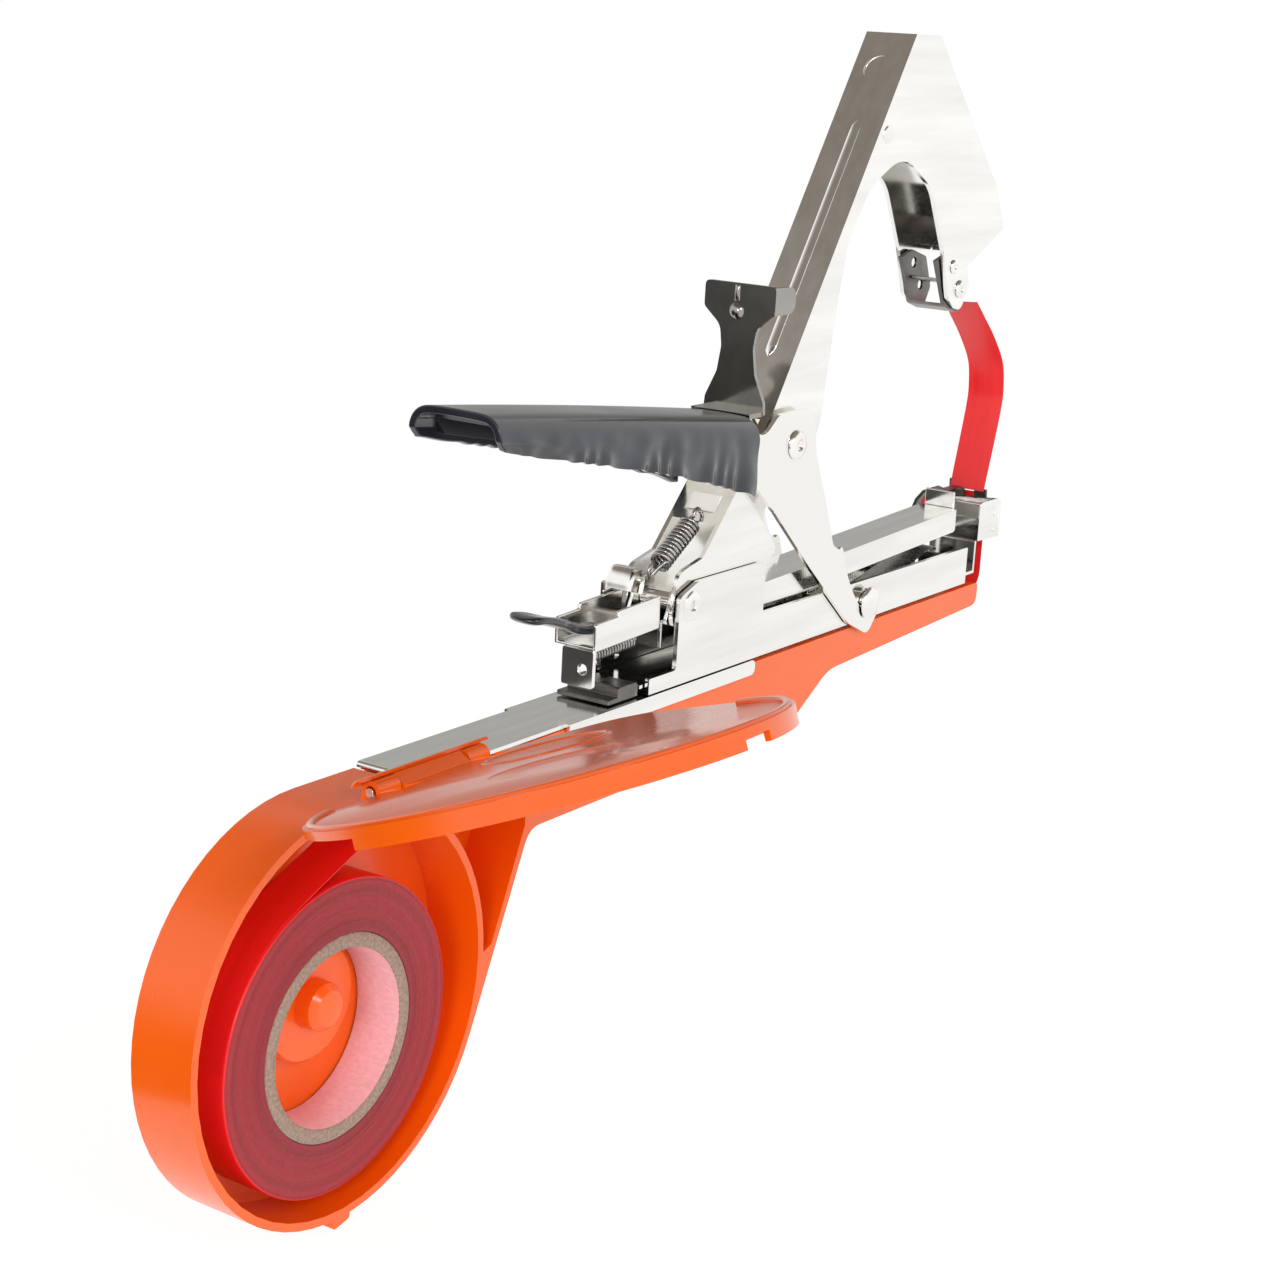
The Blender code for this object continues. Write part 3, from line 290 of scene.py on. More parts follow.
def moulded(name, colour, haze=0.2):
    """Glossy moulded plastic that lets a little light through, with flow marks and rub marks."""
    made, shader = finish(name, colour, 0.0, haze, Subsurface_Weight=0.22, Subsurface_Scale=0.004,
                          Subsurface_Radius=(1.0, 0.32, 0.06), Coat_Weight=0.15, Coat_Roughness=0.06)
    if shader:
        tree = made.node_tree
        flow = texture(tree, "ShaderNodeTexNoise", 28, (0.35, 1, 1), Detail=3.0)
        rub = texture(tree, "ShaderNodeTexNoise", 700, Detail=4.0)
        spread(tree, flow.outputs["Fac"], shader.inputs["Roughness"], haze * 0.75, haze * 1.45)
        tint(tree, flow.outputs["Fac"], shader.inputs["Base Color"], scaled(colour, 0.93), scaled(colour, 1.06))
        bump(tree, ((flow.outputs["Fac"], 0.00008), (rub.outputs["Fac"], 0.000004)), shader)
    return made


def dipped_vinyl(name="dipped vinyl"):
    colour = colours().vinyl
    made, shader = finish(name, colour, 0.0, 0.24, Coat_Weight=0.5, Coat_Roughness=0.08)
    if shader:
        tree = made.node_tree
        skin = texture(tree, "ShaderNodeTexNoise", 60, (0.6, 1, 1), Detail=2.0)
        pore = texture(tree, "ShaderNodeTexNoise", 900, Detail=3.0)
        spread(tree, skin.outputs["Fac"], shader.inputs["Roughness"], 0.18, 0.34)
        tint(tree, skin.outputs["Fac"], shader.inputs["Base Color"], scaled(colour, 0.8), scaled(colour, 1.5))
        bump(tree, ((skin.outputs["Fac"], 0.00020), (pore.outputs["Fac"], 0.000006)), shader)
    return made


def stretch_film():
    """Tape film: satin, with lines drawn along its length."""
    colour = colours().film_red
    made, shader = finish("stretch film", colour, 0.0, 0.34, Subsurface_Weight=0.12, Subsurface_Scale=0.002,
                          Subsurface_Radius=(1.0, 0.15, 0.12))
    if shader:
        tree = made.node_tree
        line = texture(tree, "ShaderNodeTexNoise", 900, (0.04, 1, 0.04), Detail=3.0)
        crease = texture(tree, "ShaderNodeTexNoise", 70, (1, 0.6, 1), Detail=2.0)
        spread(tree, line.outputs["Fac"], shader.inputs["Roughness"], 0.28, 0.46)
        tint(tree, line.outputs["Fac"], shader.inputs["Base Color"], scaled(colour, 0.94), scaled(colour, 1.05))
        bump(tree, ((crease.outputs["Fac"], 0.00012), (line.outputs["Fac"], 0.000006)), shader)
    return made


def ring_texture(tree, scale):
    """Noise that changes only with the distance from the roll's axis, as the edges of wound film do."""
    nodes, links = tree.nodes, tree.links
    place = nodes.new("ShaderNodeTexCoord")
    offset = nodes.new("ShaderNodeVectorMath")
    offset.operation = "SUBTRACT"
    offset.inputs[1].default_value = ROLL * MM
    flat = nodes.new("ShaderNodeVectorMath")
    flat.operation = "MULTIPLY"
    flat.inputs[1].default_value = (1, 0, 1)
    length = nodes.new("ShaderNodeVectorMath")
    length.operation = "LENGTH"
    ring = nodes.new("ShaderNodeTexNoise")
    ring.noise_dimensions = "1D"
    ring.inputs["Scale"].default_value = scale
    ring.inputs["Detail"].default_value = 3.0
    links.new(place.outputs["Object"], offset.inputs[0])
    links.new(offset.outputs["Vector"], flat.inputs[0])
    links.new(flat.outputs["Vector"], length.inputs[0])
    links.new(length.outputs["Value"], ring.inputs["W"])
    return ring


def wound_film():
    colour = colours().roll_face
    made, shader = finish("wound film edge", colour, 0.0, 0.5, Subsurface_Weight=0.1, Subsurface_Scale=0.002,
                          Subsurface_Radius=(1.0, 0.2, 0.2))
    if shader:
        tree = made.node_tree
        ring = ring_texture(tree, 1500)
        band = ring_texture(tree, 260)
        dust = texture(tree, "ShaderNodeTexNoise", 1200, Detail=4.0)
        spread(tree, dust.outputs["Fac"], shader.inputs["Roughness"], 0.42, 0.62)
        tint(tree, band.outputs["Fac"], shader.inputs["Base Color"], scaled(colour, 0.84), scaled(colour, 1.22))
        bump(tree, ((ring.outputs["Fac"], 0.00010), (band.outputs["Fac"], 0.00012), (dust.outputs["Fac"], 0.00001)),
             shader)
    return made


def dipped_lever(piece, end):
    """The lever's plating, which gives way to the vinyl that the dip left inside it behind x = end."""
    metal, coat = colours().nickel, colours().vinyl
    made, shader = finish("dipped lever", metal, 1.0, 0.11)
    if shader:
        tree = made.node_tree
        nodes, links = tree.nodes, tree.links
        place = nodes.new("ShaderNodeTexCoord")
        split = nodes.new("ShaderNodeSeparateXYZ")
        links.new(place.outputs["Object"], split.inputs["Vector"])
        edge = end * MM - piece.matrix_world.translation.x
        for socket, front, back in (("Metallic", 1.0, 0.0), ("Roughness", 0.11, 0.28)):
            ramp = nodes.new("ShaderNodeMapRange")
            ramp.inputs["From Min"].default_value = edge
            ramp.inputs["From Max"].default_value = edge + 0.0008
            ramp.inputs["To Min"].default_value = back
            ramp.inputs["To Max"].default_value = front
            links.new(split.outputs["X"], ramp.inputs["Value"])
            links.new(ramp.outputs["Result"], shader.inputs[socket])
            if socket == "Metallic":
                mix = nodes.new("ShaderNodeMix")
                mix.data_type = "RGBA"
                mix.inputs["A"].default_value = (*coat, 1)
                mix.inputs["B"].default_value = (*metal, 1)
                links.new(ramp.outputs["Result"], mix.inputs["Factor"])
                links.new(mix.outputs["Result"], shader.inputs["Base Color"])
        wave = texture(tree, "ShaderNodeTexNoise", 55, Detail=1.0)
        bump(tree, ((wave.outputs["Fac"], 0.00006),), shader)
    return made


def pressed_card(name, colour, grain):
    made, shader = finish(name, colour, 0.0, 0.85)
    if shader:
        tree = made.node_tree
        fibre = texture(tree, "ShaderNodeTexNoise", 1500, (1, 0.5, 1), Detail=5.0)
        tint(tree, fibre.outputs["Fac"], shader.inputs["Base Color"], scaled(colour, 1 - grain),
             scaled(colour, 1 + grain))
        bump(tree, ((fibre.outputs["Fac"], 0.00006),), shader)
    return made


def nickel():
    return plated("nickel plate", colours().nickel, 0.11)


# Building blocks

def smooth_path(points, steps):
    """A Catmull-Rom curve through the points, with so many steps between each two."""
    points = [Vector(point) for point in points]
    ends = [points[0] * 2 - points[1], *points, points[-1] * 2 - points[-2]]
    path = []
    for a, b, c, d in zip(ends, ends[1:], ends[2:], ends[3:]):
        for i in range(steps):
            t = i / steps
            path.append(0.5 * (2 * b + (c - a) * t + (2 * a - 5 * b + 4 * c - d) * t ** 2
                               + (3 * b - a - 3 * c + d) * t ** 3))
    return [*path, points[-1]]


def put_in_place(name, bm, materials, body=None, replaced=(), crease=38):
    """Makes an object of a mesh drawn in millimetres, shades it and gives it its body and CAD nodes."""
    bmesh.ops.remove_doubles(bm, verts=bm.verts, dist=1e-4)
    bmesh.ops.recalc_face_normals(bm, faces=bm.faces)
    bmesh.ops.scale(bm, vec=(MM, MM, MM), verts=bm.verts)
    mesh = bpy.data.meshes.new(name)
    bm.to_mesh(mesh)
    bm.free()
    for material in materials:
        mesh.materials.append(material)
    mesh.shade_smooth()
    mesh.set_sharp_from_angle(angle=math.radians(crease))
    made = bpy.data.objects.new(name, mesh)
    bpy.context.scene.collection.objects.link(made)
    if body:
        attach(made, body)
    if replaced:
        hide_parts(*replaced)
    return made


def lathe(bm, profile, centre, steps, axis="y"):
    """Turns (radius, height) points about an axis through the centre. A profile that starts off the axis closes."""
    turned = {"y": lambda r, h, a: (r * math.cos(a), h, r * math.sin(a)),
              "x": lambda r, h, a: (h, r * math.cos(a), r * math.sin(a))}[axis]
    rings = []
    for radius, height in profile:
        count = steps if radius > 1e-6 else 1
        rings.append([bm.verts.new(Vector(centre) + Vector(turned(radius, height, 2 * math.pi * i / steps)))
                      for i in range(count)])
    pairs = list(zip(rings, rings[1:]))
    if profile[0][0] > 1e-6:
        pairs.append((rings[-1], rings[0]))
    for one, two in pairs:
        for i in range(steps):
            corners = [one[i % len(one)], one[(i + 1) % len(one)], two[(i + 1) % len(two)], two[i % len(two)]]
            corners = list(dict.fromkeys(corners))
            if len(corners) > 2:
                bm.faces.new(corners)


def wire(bm, path, radius, sides=12):
    """A round wire with closed ends along points in space."""
    path = [Vector(point) for point in path]
    side = None
    rings = []
    for i, point in enumerate(path):
        along = (path[min(i + 1, len(path) - 1)] - path[max(i - 1, 0)]).normalized()
        side = along.orthogonal() if side is None else side
        side = (side - along * side.dot(along)).normalized()
        other = along.cross(side)
        rings.append([bm.verts.new(point + (side * math.cos(a) + other * math.sin(a)) * radius)
                      for a in (2 * math.pi * s / sides for s in range(sides))])
    for one, two in zip(rings, rings[1:]):
        for s in range(sides):
            bm.faces.new((one[s], one[(s + 1) % sides], two[(s + 1) % sides], two[s]))
    bm.faces.new(rings[0][::-1])
    bm.faces.new(rings[-1])


def coil(start, end, radius, turns, per_turn=22, phase=0.0):
    start, end = Vector(start), Vector(end)
    along = (end - start).normalized()
    side = along.cross(Vector((0, 1, 0))).normalized() if abs(along.y) < 0.9 else Vector((1, 0, 0))
    other = along.cross(side)
    count = int(turns * per_turn)
    return [start.lerp(end, i / count) + (side * math.cos(a) + other * math.sin(a)) * radius
            for i, a in ((i, phase + 2 * math.pi * i / per_turn) for i in range(count + 1))]


def skin(bm, grid, closed=False):
    """Faces over a grid of points: rows of equal length, joined along each row too if closed."""
    rows = [[bm.verts.new(point) for point in row] for row in grid]
    across = len(rows[0]) if closed else len(rows[0]) - 1
    for one, two in zip(rows, rows[1:]):
        for i in range(across):
            j = (i + 1) % len(one)
            bm.faces.new((one[i], one[j], two[j], two[i]))
    return rows


def capped_skin(bm, grid):
    """A closed tube over a grid of rings, with a face at each end."""
    rows = skin(bm, grid, closed=True)
    bm.faces.new(rows[0][::-1])
    bm.faces.new(rows[-1])


def soften(node, material, radius, segments=2, crease=30):
    """Gives a CAD node its finish and rounds its edges, with its shape and place as they are."""
    piece = NODES[node]
    piece.data.materials.clear()
    piece.data.materials.append(material)
    piece.data.shade_smooth()
    weld = piece.modifiers.new("join corners", "WELD")
    weld.merge_threshold = 0.000002
    flat = piece.modifiers.new("flat faces", "DECIMATE")
    flat.decimate_type = "DISSOLVE"
    flat.angle_limit = math.radians(0.6)
    if radius:
        edge = piece.modifiers.new("rolled edge", "BEVEL")
        edge.width = radius
        edge.segments = segments
        edge.limit_method = "ANGLE"
        edge.angle_limit = math.radians(crease)
        edge.use_clamp_overlap = True
        edge.harden_normals = False
    level = piece.modifiers.new("level shading", "WEIGHTED_NORMAL")
    level.mode = "FACE_AREA_WITH_ANGLE"
    level.weight = 60
    level.keep_sharp = True
    return piece


def carve(piece, name, bm):
    """Cuts a mesh drawn in millimetres from a piece with a hidden tool."""
    bmesh.ops.recalc_face_normals(bm, faces=bm.faces)
    bmesh.ops.scale(bm, vec=(MM, MM, MM), verts=bm.verts)
    mesh = bpy.data.meshes.new(name)
    bm.to_mesh(mesh)
    bm.free()
    for material in piece.data.materials:
        mesh.materials.append(material)
    tool = bpy.data.objects.new(name, mesh)
    bpy.context.scene.collection.objects.link(tool)
    tool.hide_render = True
    tool.hide_viewport = False
    tool.display_type = "WIRE"
    tool.parent = piece.parent
    step = piece.modifiers.new(name, "BOOLEAN")
    step.operation = "DIFFERENCE"
    step.object = tool
    step.solver = "EXACT"


# Plates

NICKEL_PLATES = ("base_channel", "base_floor", "clincher_arm", "jaw_guide", "latch_plate",
                 "magazine_cover", "magazine_face", "pusher_housing", "saddle_plate")
DARK_PLATES = ("head_insert", "clincher_plate", "driver_blade", "magazine_floor", "follower", "rear_bracket",
               "tape_guide", "tape_presser")
STRIP_STEEL = ("tape_catch", "cutter_blade", "staple_rail", "staple_strip", "guide_rod")


class TAPEGUN_OT_pressed_plates(bpy.types.Operator):
    """Rounds and plates the pressed sheet of the base, arm, handle and magazine"""
    bl_idname = "tape_gun.pressed_plates"
    bl_label = "Pressed plates"

    def execute(self, context):
        edge = sizes().plate_edge
        for node in NICKEL_PLATES:
            soften(node, nickel(), edge)
        soften("handle_lever", dipped_lever(NODES["handle_lever"], 36.0), edge)
        for node in DARK_PLATES:
            soften(node, dark_plate(), edge * 0.7)
        for node in STRIP_STEEL:
            soften(node, spring_wire(), edge * 0.5)
        return {"FINISHED"}


class TAPEGUN_OT_spring_hook(bpy.types.Operator):
    """Bends the tongue that holds the return spring's lower end"""
    bl_idname = "tape_gun.spring_hook"
    bl_label = "Spring hook"

    def execute(self, context):
        low, high = node_box("spring_tab")
        bend = smooth_path([Vector(point) for point in
                            ((48.3, 19.6), (49.0, 22.2), (48.1, 24.5), (46.0, 24.6), (44.7, 22.6), (44.3, 20.8))], 6)
        across = 14
        middle, half = 2.45, 3.4
        grid = []
        for i, point in enumerate(bend):
            ahead = bend[min(i + 1, len(bend) - 1)] - bend[max(i - 1, 0)]
            out = Vector((-ahead.y, ahead.x)).normalized()
            ring = []
            for face, order in ((0.5, range(across + 1)), (-0.5, range(across, -1, -1))):
                for k in order:
                    s = 2 * k / across - 1
                    round_off = math.sqrt(max(0.0, 1 - abs(s) ** 6))
                    ring.append(Vector((point.x + out.x * face * round_off, middle + s * half,
                                        point.y + out.y * face * round_off)))
            grid.append(ring)
        bm = bmesh.new()
        capped_skin(bm, grid)
        post = bmesh.ops.create_cube(bm, size=1.0, matrix=Matrix.Translation(((low.x + high.x) / 2 - 0.1, 6.0, 12.4))
                                     @ Matrix.Diagonal((5.6, 1.0, 19.2, 1.0)))["verts"]
        edges = list({edge for corner in post for edge in corner.link_edges})
        bmesh.ops.bevel(bm, geom=edges, offset=0.25, segments=2, affect="EDGES")
        put_in_place("spring_tab_bent", bm, [nickel()], "frame", ("spring_tab",), 50)
        return {"FINISHED"}


class TAPEGUN_OT_arm_pressings(bpy.types.Operator):
    """Adds the arm's pressed rib, arc and locating boss"""
    bl_idname = "tape_gun.arm_pressings"
    bl_label = "Arm pressings"

    def execute(self, context):
        _, high = node_box("clincher_arm")
        top = Vector((140.4, 0, high.z))
        bend = Vector((88.2, 0, 55.6))
        down = (bend - top).normalized()
        out = Vector((down.z, 0, -down.x))
        out = out if out.x < 0 else -out
        bm = bmesh.new()
        rib = []
        for i in range(41):
            t = i / 40
            reach = 23.0 + 61.0 * t
            half = 1.25 * math.sqrt(max(0.0, 1 - (1 - min(1.0, t * 24)) ** 2)) * math.sqrt(
                max(0.0, 1 - (1 - min(1.0, (1 - t) * 24)) ** 2))
            centre = top + down * reach
            row = []
            for k in range(9):
                a = math.pi * k / 8
                row.append(centre + Vector((0, math.cos(a) * (half + 0.02), 0))
                           + out * (0.38 * math.sin(a) * min(1.0, half) - 0.05))
            rib.append(row)
        skin(bm, rib, closed=True)
        put_in_place("arm_rib", bm, [nickel()], "arm", crease=60)
        bm = bmesh.new()
        crescent = []
        centre = top + down * 9.6
        for i in range(21):
            a = math.radians(-42 + 150 * i / 20)
            at = centre + Vector((0, math.cos(a) * 3.4, 0)) - down * (math.sin(a) * 3.4)
            across = (Vector((0, math.cos(a), 0)) - down * math.sin(a))
            swell = 0.32 * math.sin(math.pi * i / 20) + 0.02
            crescent.append([at + across * (swell * math.cos(b)) + out * (swell * 0.7 * math.sin(b) - 0.04)
                             for b in (math.pi * k / 6 for k in range(7))])
        skin(bm, crescent, closed=True)
        put_in_place("arm_arc", bm, [nickel()], "arm", crease=60)
        bm = bmesh.new()
        for side in (-1, 1):
            face = side * high.y
            dome = [(0, face + side * 0.55), (1.2, face + side * 0.5), (1.75, face + side * 0.32),
                    (2.05, face), (2.05, face - side * 0.3), (0, face - side * 0.3)]
            lathe(bm, dome, (130.1, 0, 113.5), 32)
        put_in_place("arm_boss", bm, [nickel()], "arm", crease=60)
        return {"FINISHED"}


# Rivets and pins

def rivet_profile(radius, face, side, tall, dimple):
    """A domed head outside a face, with a shallow pressed hollow in its middle."""
    return [(0, face + side * (tall - dimple)), (radius * 0.28, face + side * (tall - dimple)),
            (radius * 0.42, face + side * tall * 0.92), (radius * 0.55, face + side * tall),
            (radius * 0.78, face + side * tall * 0.86), (radius * 0.95, face + side * tall * 0.45),
            (radius, face + side * 0.1), (radius, face - side * 0.02)]


class TAPEGUN_OT_rivets(bpy.types.Operator):
    """Replaces the plain pins with turned rivets that have domed, dimpled heads"""
    bl_idname = "tape_gun.rivets"
    bl_label = "Rivets and pins"

    def execute(self, context):
        heads = (("arm_pivot_pin", "frame", 3.4, 1.0, 0.75), ("handle_pivot_pin", "arm", 3.3, 1.2, 1.0))
        for node, body, radius, tall, dimple in heads:
            low, high = node_box(node)
            centre = ((low.x + high.x) / 2, 0, (low.z + high.z) / 2)
            inner = high.y - 1.2
            near = rivet_profile(radius, -inner, -1, tall, dimple)
            far = rivet_profile(radius, inner, 1, tall, dimple)
            bm = bmesh.new()
            lathe(bm, [*near, (PIN_SHANK, -inner + 0.02), (PIN_SHANK, inner - 0.02), *far[::-1]], centre, 48)
            put_in_place(f"{node}_turned", bm, [nickel()], body, (node,), 50)
        for side, node in ((-1, "hook_pin_near"), (1, "hook_pin_far")):
            low, high = node_box(node)
            centre = ((low.x + high.x) / 2, 0, (low.z + high.z) / 2)
            outer, inner = (low.y, high.y) if side < 0 else (high.y, low.y)
            face = outer - side * 1.2
            bm = bmesh.new()
            head = [(0, face + side * 1.18), (2.6, face + side * 1.14), (3.35, face + side * 0.86),
                    (3.8, face + side * 0.42), (3.88, face + side * 0.05), (2.3, face), (2.3, inner), (0, inner)]
            lathe(bm, head, centre, 48)
            put_in_place(f"{node}_turned", bm, [nickel()], "frame", (node,), 50)
        for side, name in ((-1, "near"), (1, "far")):
            for n in (1, 2):
                node = f"head_rivet_{name}_{n}"
                low, high = node_box(node)
                radius = (high.x - low.x) / 2
                centre = ((low.x + high.x) / 2, 0, (low.z + high.z) / 2)
                outer, inner = (low.y, high.y) if side < 0 else (high.y, low.y)
                tall = 0.5 + 0.2 * n
                profile = rivet_profile(radius, outer - side * tall, side, tall, 0.45)
                bm = bmesh.new()
                lathe(bm, [*profile, (1.0, outer - side * (tall + 0.02)), (1.0, inner), (0, inner)], centre, 36)
                put_in_place(f"{node}_turned", bm, [nickel()], "arm", (node,), 50)
        soften("lid_hinge_pin", nickel(), 0.0001)
        return {"FINISHED"}


# Springs

class TAPEGUN_OT_springs(bpy.types.Operator):
    """Winds the return, torsion and follower springs from round wire with hooked ends"""
    bl_idname = "tape_gun.springs"
    bl_label = "Springs"

    def execute(self, context):
        radius = 2.0
        wire_r = sizes().return_wire / MM
        tab, bar = Vector((51.9, -0.4, 23.2)), Vector((69.9, -0.4, 34.2))
        along = (bar - tab).normalized()
        up = Vector((-along.z, 0, along.x))
        turns = coil(tab + along * 3.4, bar - along * 3.8, radius, sizes().return_turns)
        low_hook = [tab + along * (1.1 - 1.3 * math.cos(a)) + up * (1.3 * math.sin(a)) + Vector((0, 0.3, 0))
                    for a in (math.radians(d) for d in range(200, -31, -23))]
        high_hook = [bar - along * (1.3 - 1.4 * math.cos(a)) + up * (1.4 * math.sin(a))
                     for a in (math.radians(d) for d in range(150, -121, -27))]
        bm = bmesh.new()
        wire(bm, smooth_path([*low_hook, *turns[4:-4:3], *high_hook], 3), wire_r, 10)
        spring = put_in_place("return_spring_wound", bm, [spring_wire()], None, ("return_spring",), 60)
        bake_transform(spring)
        coil_radius = 3.0
        inside = 4.9
        bm = bmesh.new()
        turns = coil((HANDLE_PIVOT.x, -inside, HANDLE_PIVOT.z), (HANDLE_PIVOT.x, inside - 3.4, HANDLE_PIVOT.z),
                     coil_radius, 7.25, 20, math.pi)
        tail = turns[-1]
        leg = [tail + Vector((-1.6, 0.4, 2.4)), tail + Vector((-3.4, 0.5, 4.8))]
        wire(bm, [*turns, *leg], 0.42, 10)
        brassed = spring_wire("brassed spring wire", (0.62, 0.47, 0.24))
        put_in_place("torsion_spring_wound", bm, [brassed], "arm", ("torsion_spring",), 60)
        low, high = node_box("follower_spring")
        one = Vector((low.x + 0.4, -1.5, low.z + 1.75))
        two = Vector((high.x - 0.4, -1.5, high.z - 1.75))
        bm = bmesh.new()
        wire(bm, coil(one, two, 1.35, 17, 14), 0.26, 8)
        put_in_place("follower_spring_wound", bm, [spring_wire()], "pusher", ("follower_spring",), 60)
        low, high = node_box("lift_spring")
        leaf = [Vector((low.x + u, low.z + 0.25 + v)) for u, v in
                ((0, 0), (12, 0), (32, 2.0), (high.x - low.x - 11.0, 6.0), (high.x - low.x - 3.2, high.z - low.z - 0.7),
                 (high.x - low.x - 0.3, high.z - low.z - 1.4))]
        bm = bmesh.new()
        capped_skin(bm, film_grid(smooth_path(leaf, 8), high.y, 0.5, 0.0))
        leaf = put_in_place("lift_spring_leaf", bm, [spring_wire()], "frame", ("lift_spring",), 60)
        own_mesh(leaf)
        return {"FINISHED"}


# Case

class TAPEGUN_OT_cassette(bpy.types.Operator):
    """Finishes the moulded cassette and adds the rim boss and its ribs"""
    bl_idname = "tape_gun.cassette"
    bl_label = "Cassette"

    def execute(self, context):
        orange = moulded("orange case", colours().orange)
        soften("cassette_body", orange, sizes().case_edge, 3, 32)
        low, _ = node_box("cassette_body")
        # This centre is 1.8 mm ahead of the drum's own, so the boss and its ribs stay inside the wall
        centre = Vector((low.x + 41.8, 0, low.z + 42.0))

        def on_rim(turn, y, lift):
            turn = math.radians(turn)
            return centre + Vector((math.cos(turn), 0, math.sin(turn))) * (DRUM_R + lift) + Vector((0, y, 0))

        bm = bmesh.new()
        ring = []
        for i in range(37):
            a = 2 * math.pi * i / 36
            ring.append([on_rim(130.5 + math.degrees(r * math.sin(a) / DRUM_R), -2.0 + r * math.cos(a), h)
                         for r, h in ((2.5, -0.35), (2.5, 0.22), (2.3, 0.38), (1.95, 0.38), (1.8, 0.2),
                                      (1.8, -0.35))])
        skin(bm, ring)
        put_in_place("rim_boss", bm, [orange], "frame", crease=50)
        bm = bmesh.new()
        for start, end in (((124.0, 3.2), (119.8, -6.6)), ((127.0, 3.6), (145.5, -6.0)),
                           ((119.8, -6.6), (145.5, -6.0))):
            path = [on_rim(start[0] + (end[0] - start[0]) * t / 16,
                           start[1] + (end[1] - start[1]) * t / 16, -0.06) for t in range(17)]
            wire(bm, path, 0.22, 8)
        put_in_place("rim_ribs", bm, [orange], "frame", crease=60)
        return {"FINISHED"}


class TAPEGUN_OT_lid(bpy.types.Operator):
    """Finishes the lid, with its raised rim, thumb pad and pressed ring"""
    bl_idname = "tape_gun.lid"
    bl_label = "Lid"

    def execute(self, context):
        orange = moulded("orange case", colours().orange)
        lid = soften("cassette_lid", orange, sizes().case_edge * 0.8, 3, 32)
        opened = Matrix.Translation(LID_HINGE) @ Matrix.Rotation(-LID_TURN, 4, "X") @ Matrix.Translation(-LID_HINGE)
        outer = LID_FACE

        def on_lid(name, bm):
            bmesh.ops.transform(bm, matrix=opened, verts=bm.verts)
            put_in_place(name, bm, [orange], "lid", crease=50)

        bm = bmesh.new()
        grid = []
        steps = 72
        for i in range(steps + 1):
            a = math.radians(-20 - 232 * i / steps)
            grid.append([Vector((DRUM[0] + r * math.cos(a), outer - h, DRUM[1] + r * math.sin(a))) for r, h in
                         ((41.2, -0.3), (41.2, 0.45), (40.9, 0.7), (40.2, 0.7), (39.9, 0.45), (39.9, -0.3))])
        skin(bm, grid, closed=True)
        on_lid("lid_rim", bm)
        bm = bmesh.new()
        recess = []
        for i in range(73):
            a = 2 * math.pi * i / 72
            recess.append([Vector((-24.0 + (11.5 + d) * math.cos(a), outer - h, -20.5 + (11.5 + d) * math.sin(a)))
                           for d, h in ((0.7, -0.3), (0.7, 0.06), (0.35, 0.24), (-0.1, 0.24), (-0.5, 0.04),
                                        (-0.7, -0.3))])
        skin(bm, recess)
        on_lid("lid_recess_ring", bm)
        bm = bmesh.new()
        cover = []
        for x, inset in ((-50.5, 0.35), (-50.2, 0.0), (-43, 0.0), (-32, 0.0), (-21, 0.0), (-14.3, 0.0),
                         (-14.0, 0.35)):
            row = []
            for r, order in ((2.9 - inset, range(25)), (2.36 + inset * 0.4, range(24, -1, -1))):
                for k in order:
                    a = math.radians(200 - 70 * k / 24)
                    row.append(Vector((x, LID_HINGE.y + r * math.cos(a), LID_HINGE.z + r * math.sin(a))))
            cover.append(row)
        rows = skin(bm, cover, closed=True)
        for ring in (rows[0], rows[-1]):
            for i in range(24):
                bm.faces.new((ring[i], ring[i + 1], ring[48 - i], ring[49 - i]))
        on_lid("lid_hinge_cover", bm)
        bm = bmesh.new()
        hollow = [(0, outer + 0.55), (7.0, outer + 0.5), (11.0, outer + 0.2), (13.2, outer - 0.4), (0, outer - 0.4)]
        lathe(bm, hollow, (-50.0, 0, -42.5), 48)
        bmesh.ops.transform(bm, matrix=opened, verts=bm.verts)
        carve(lid, "lid dish", bm)
        return {"FINISHED"}


# Roll

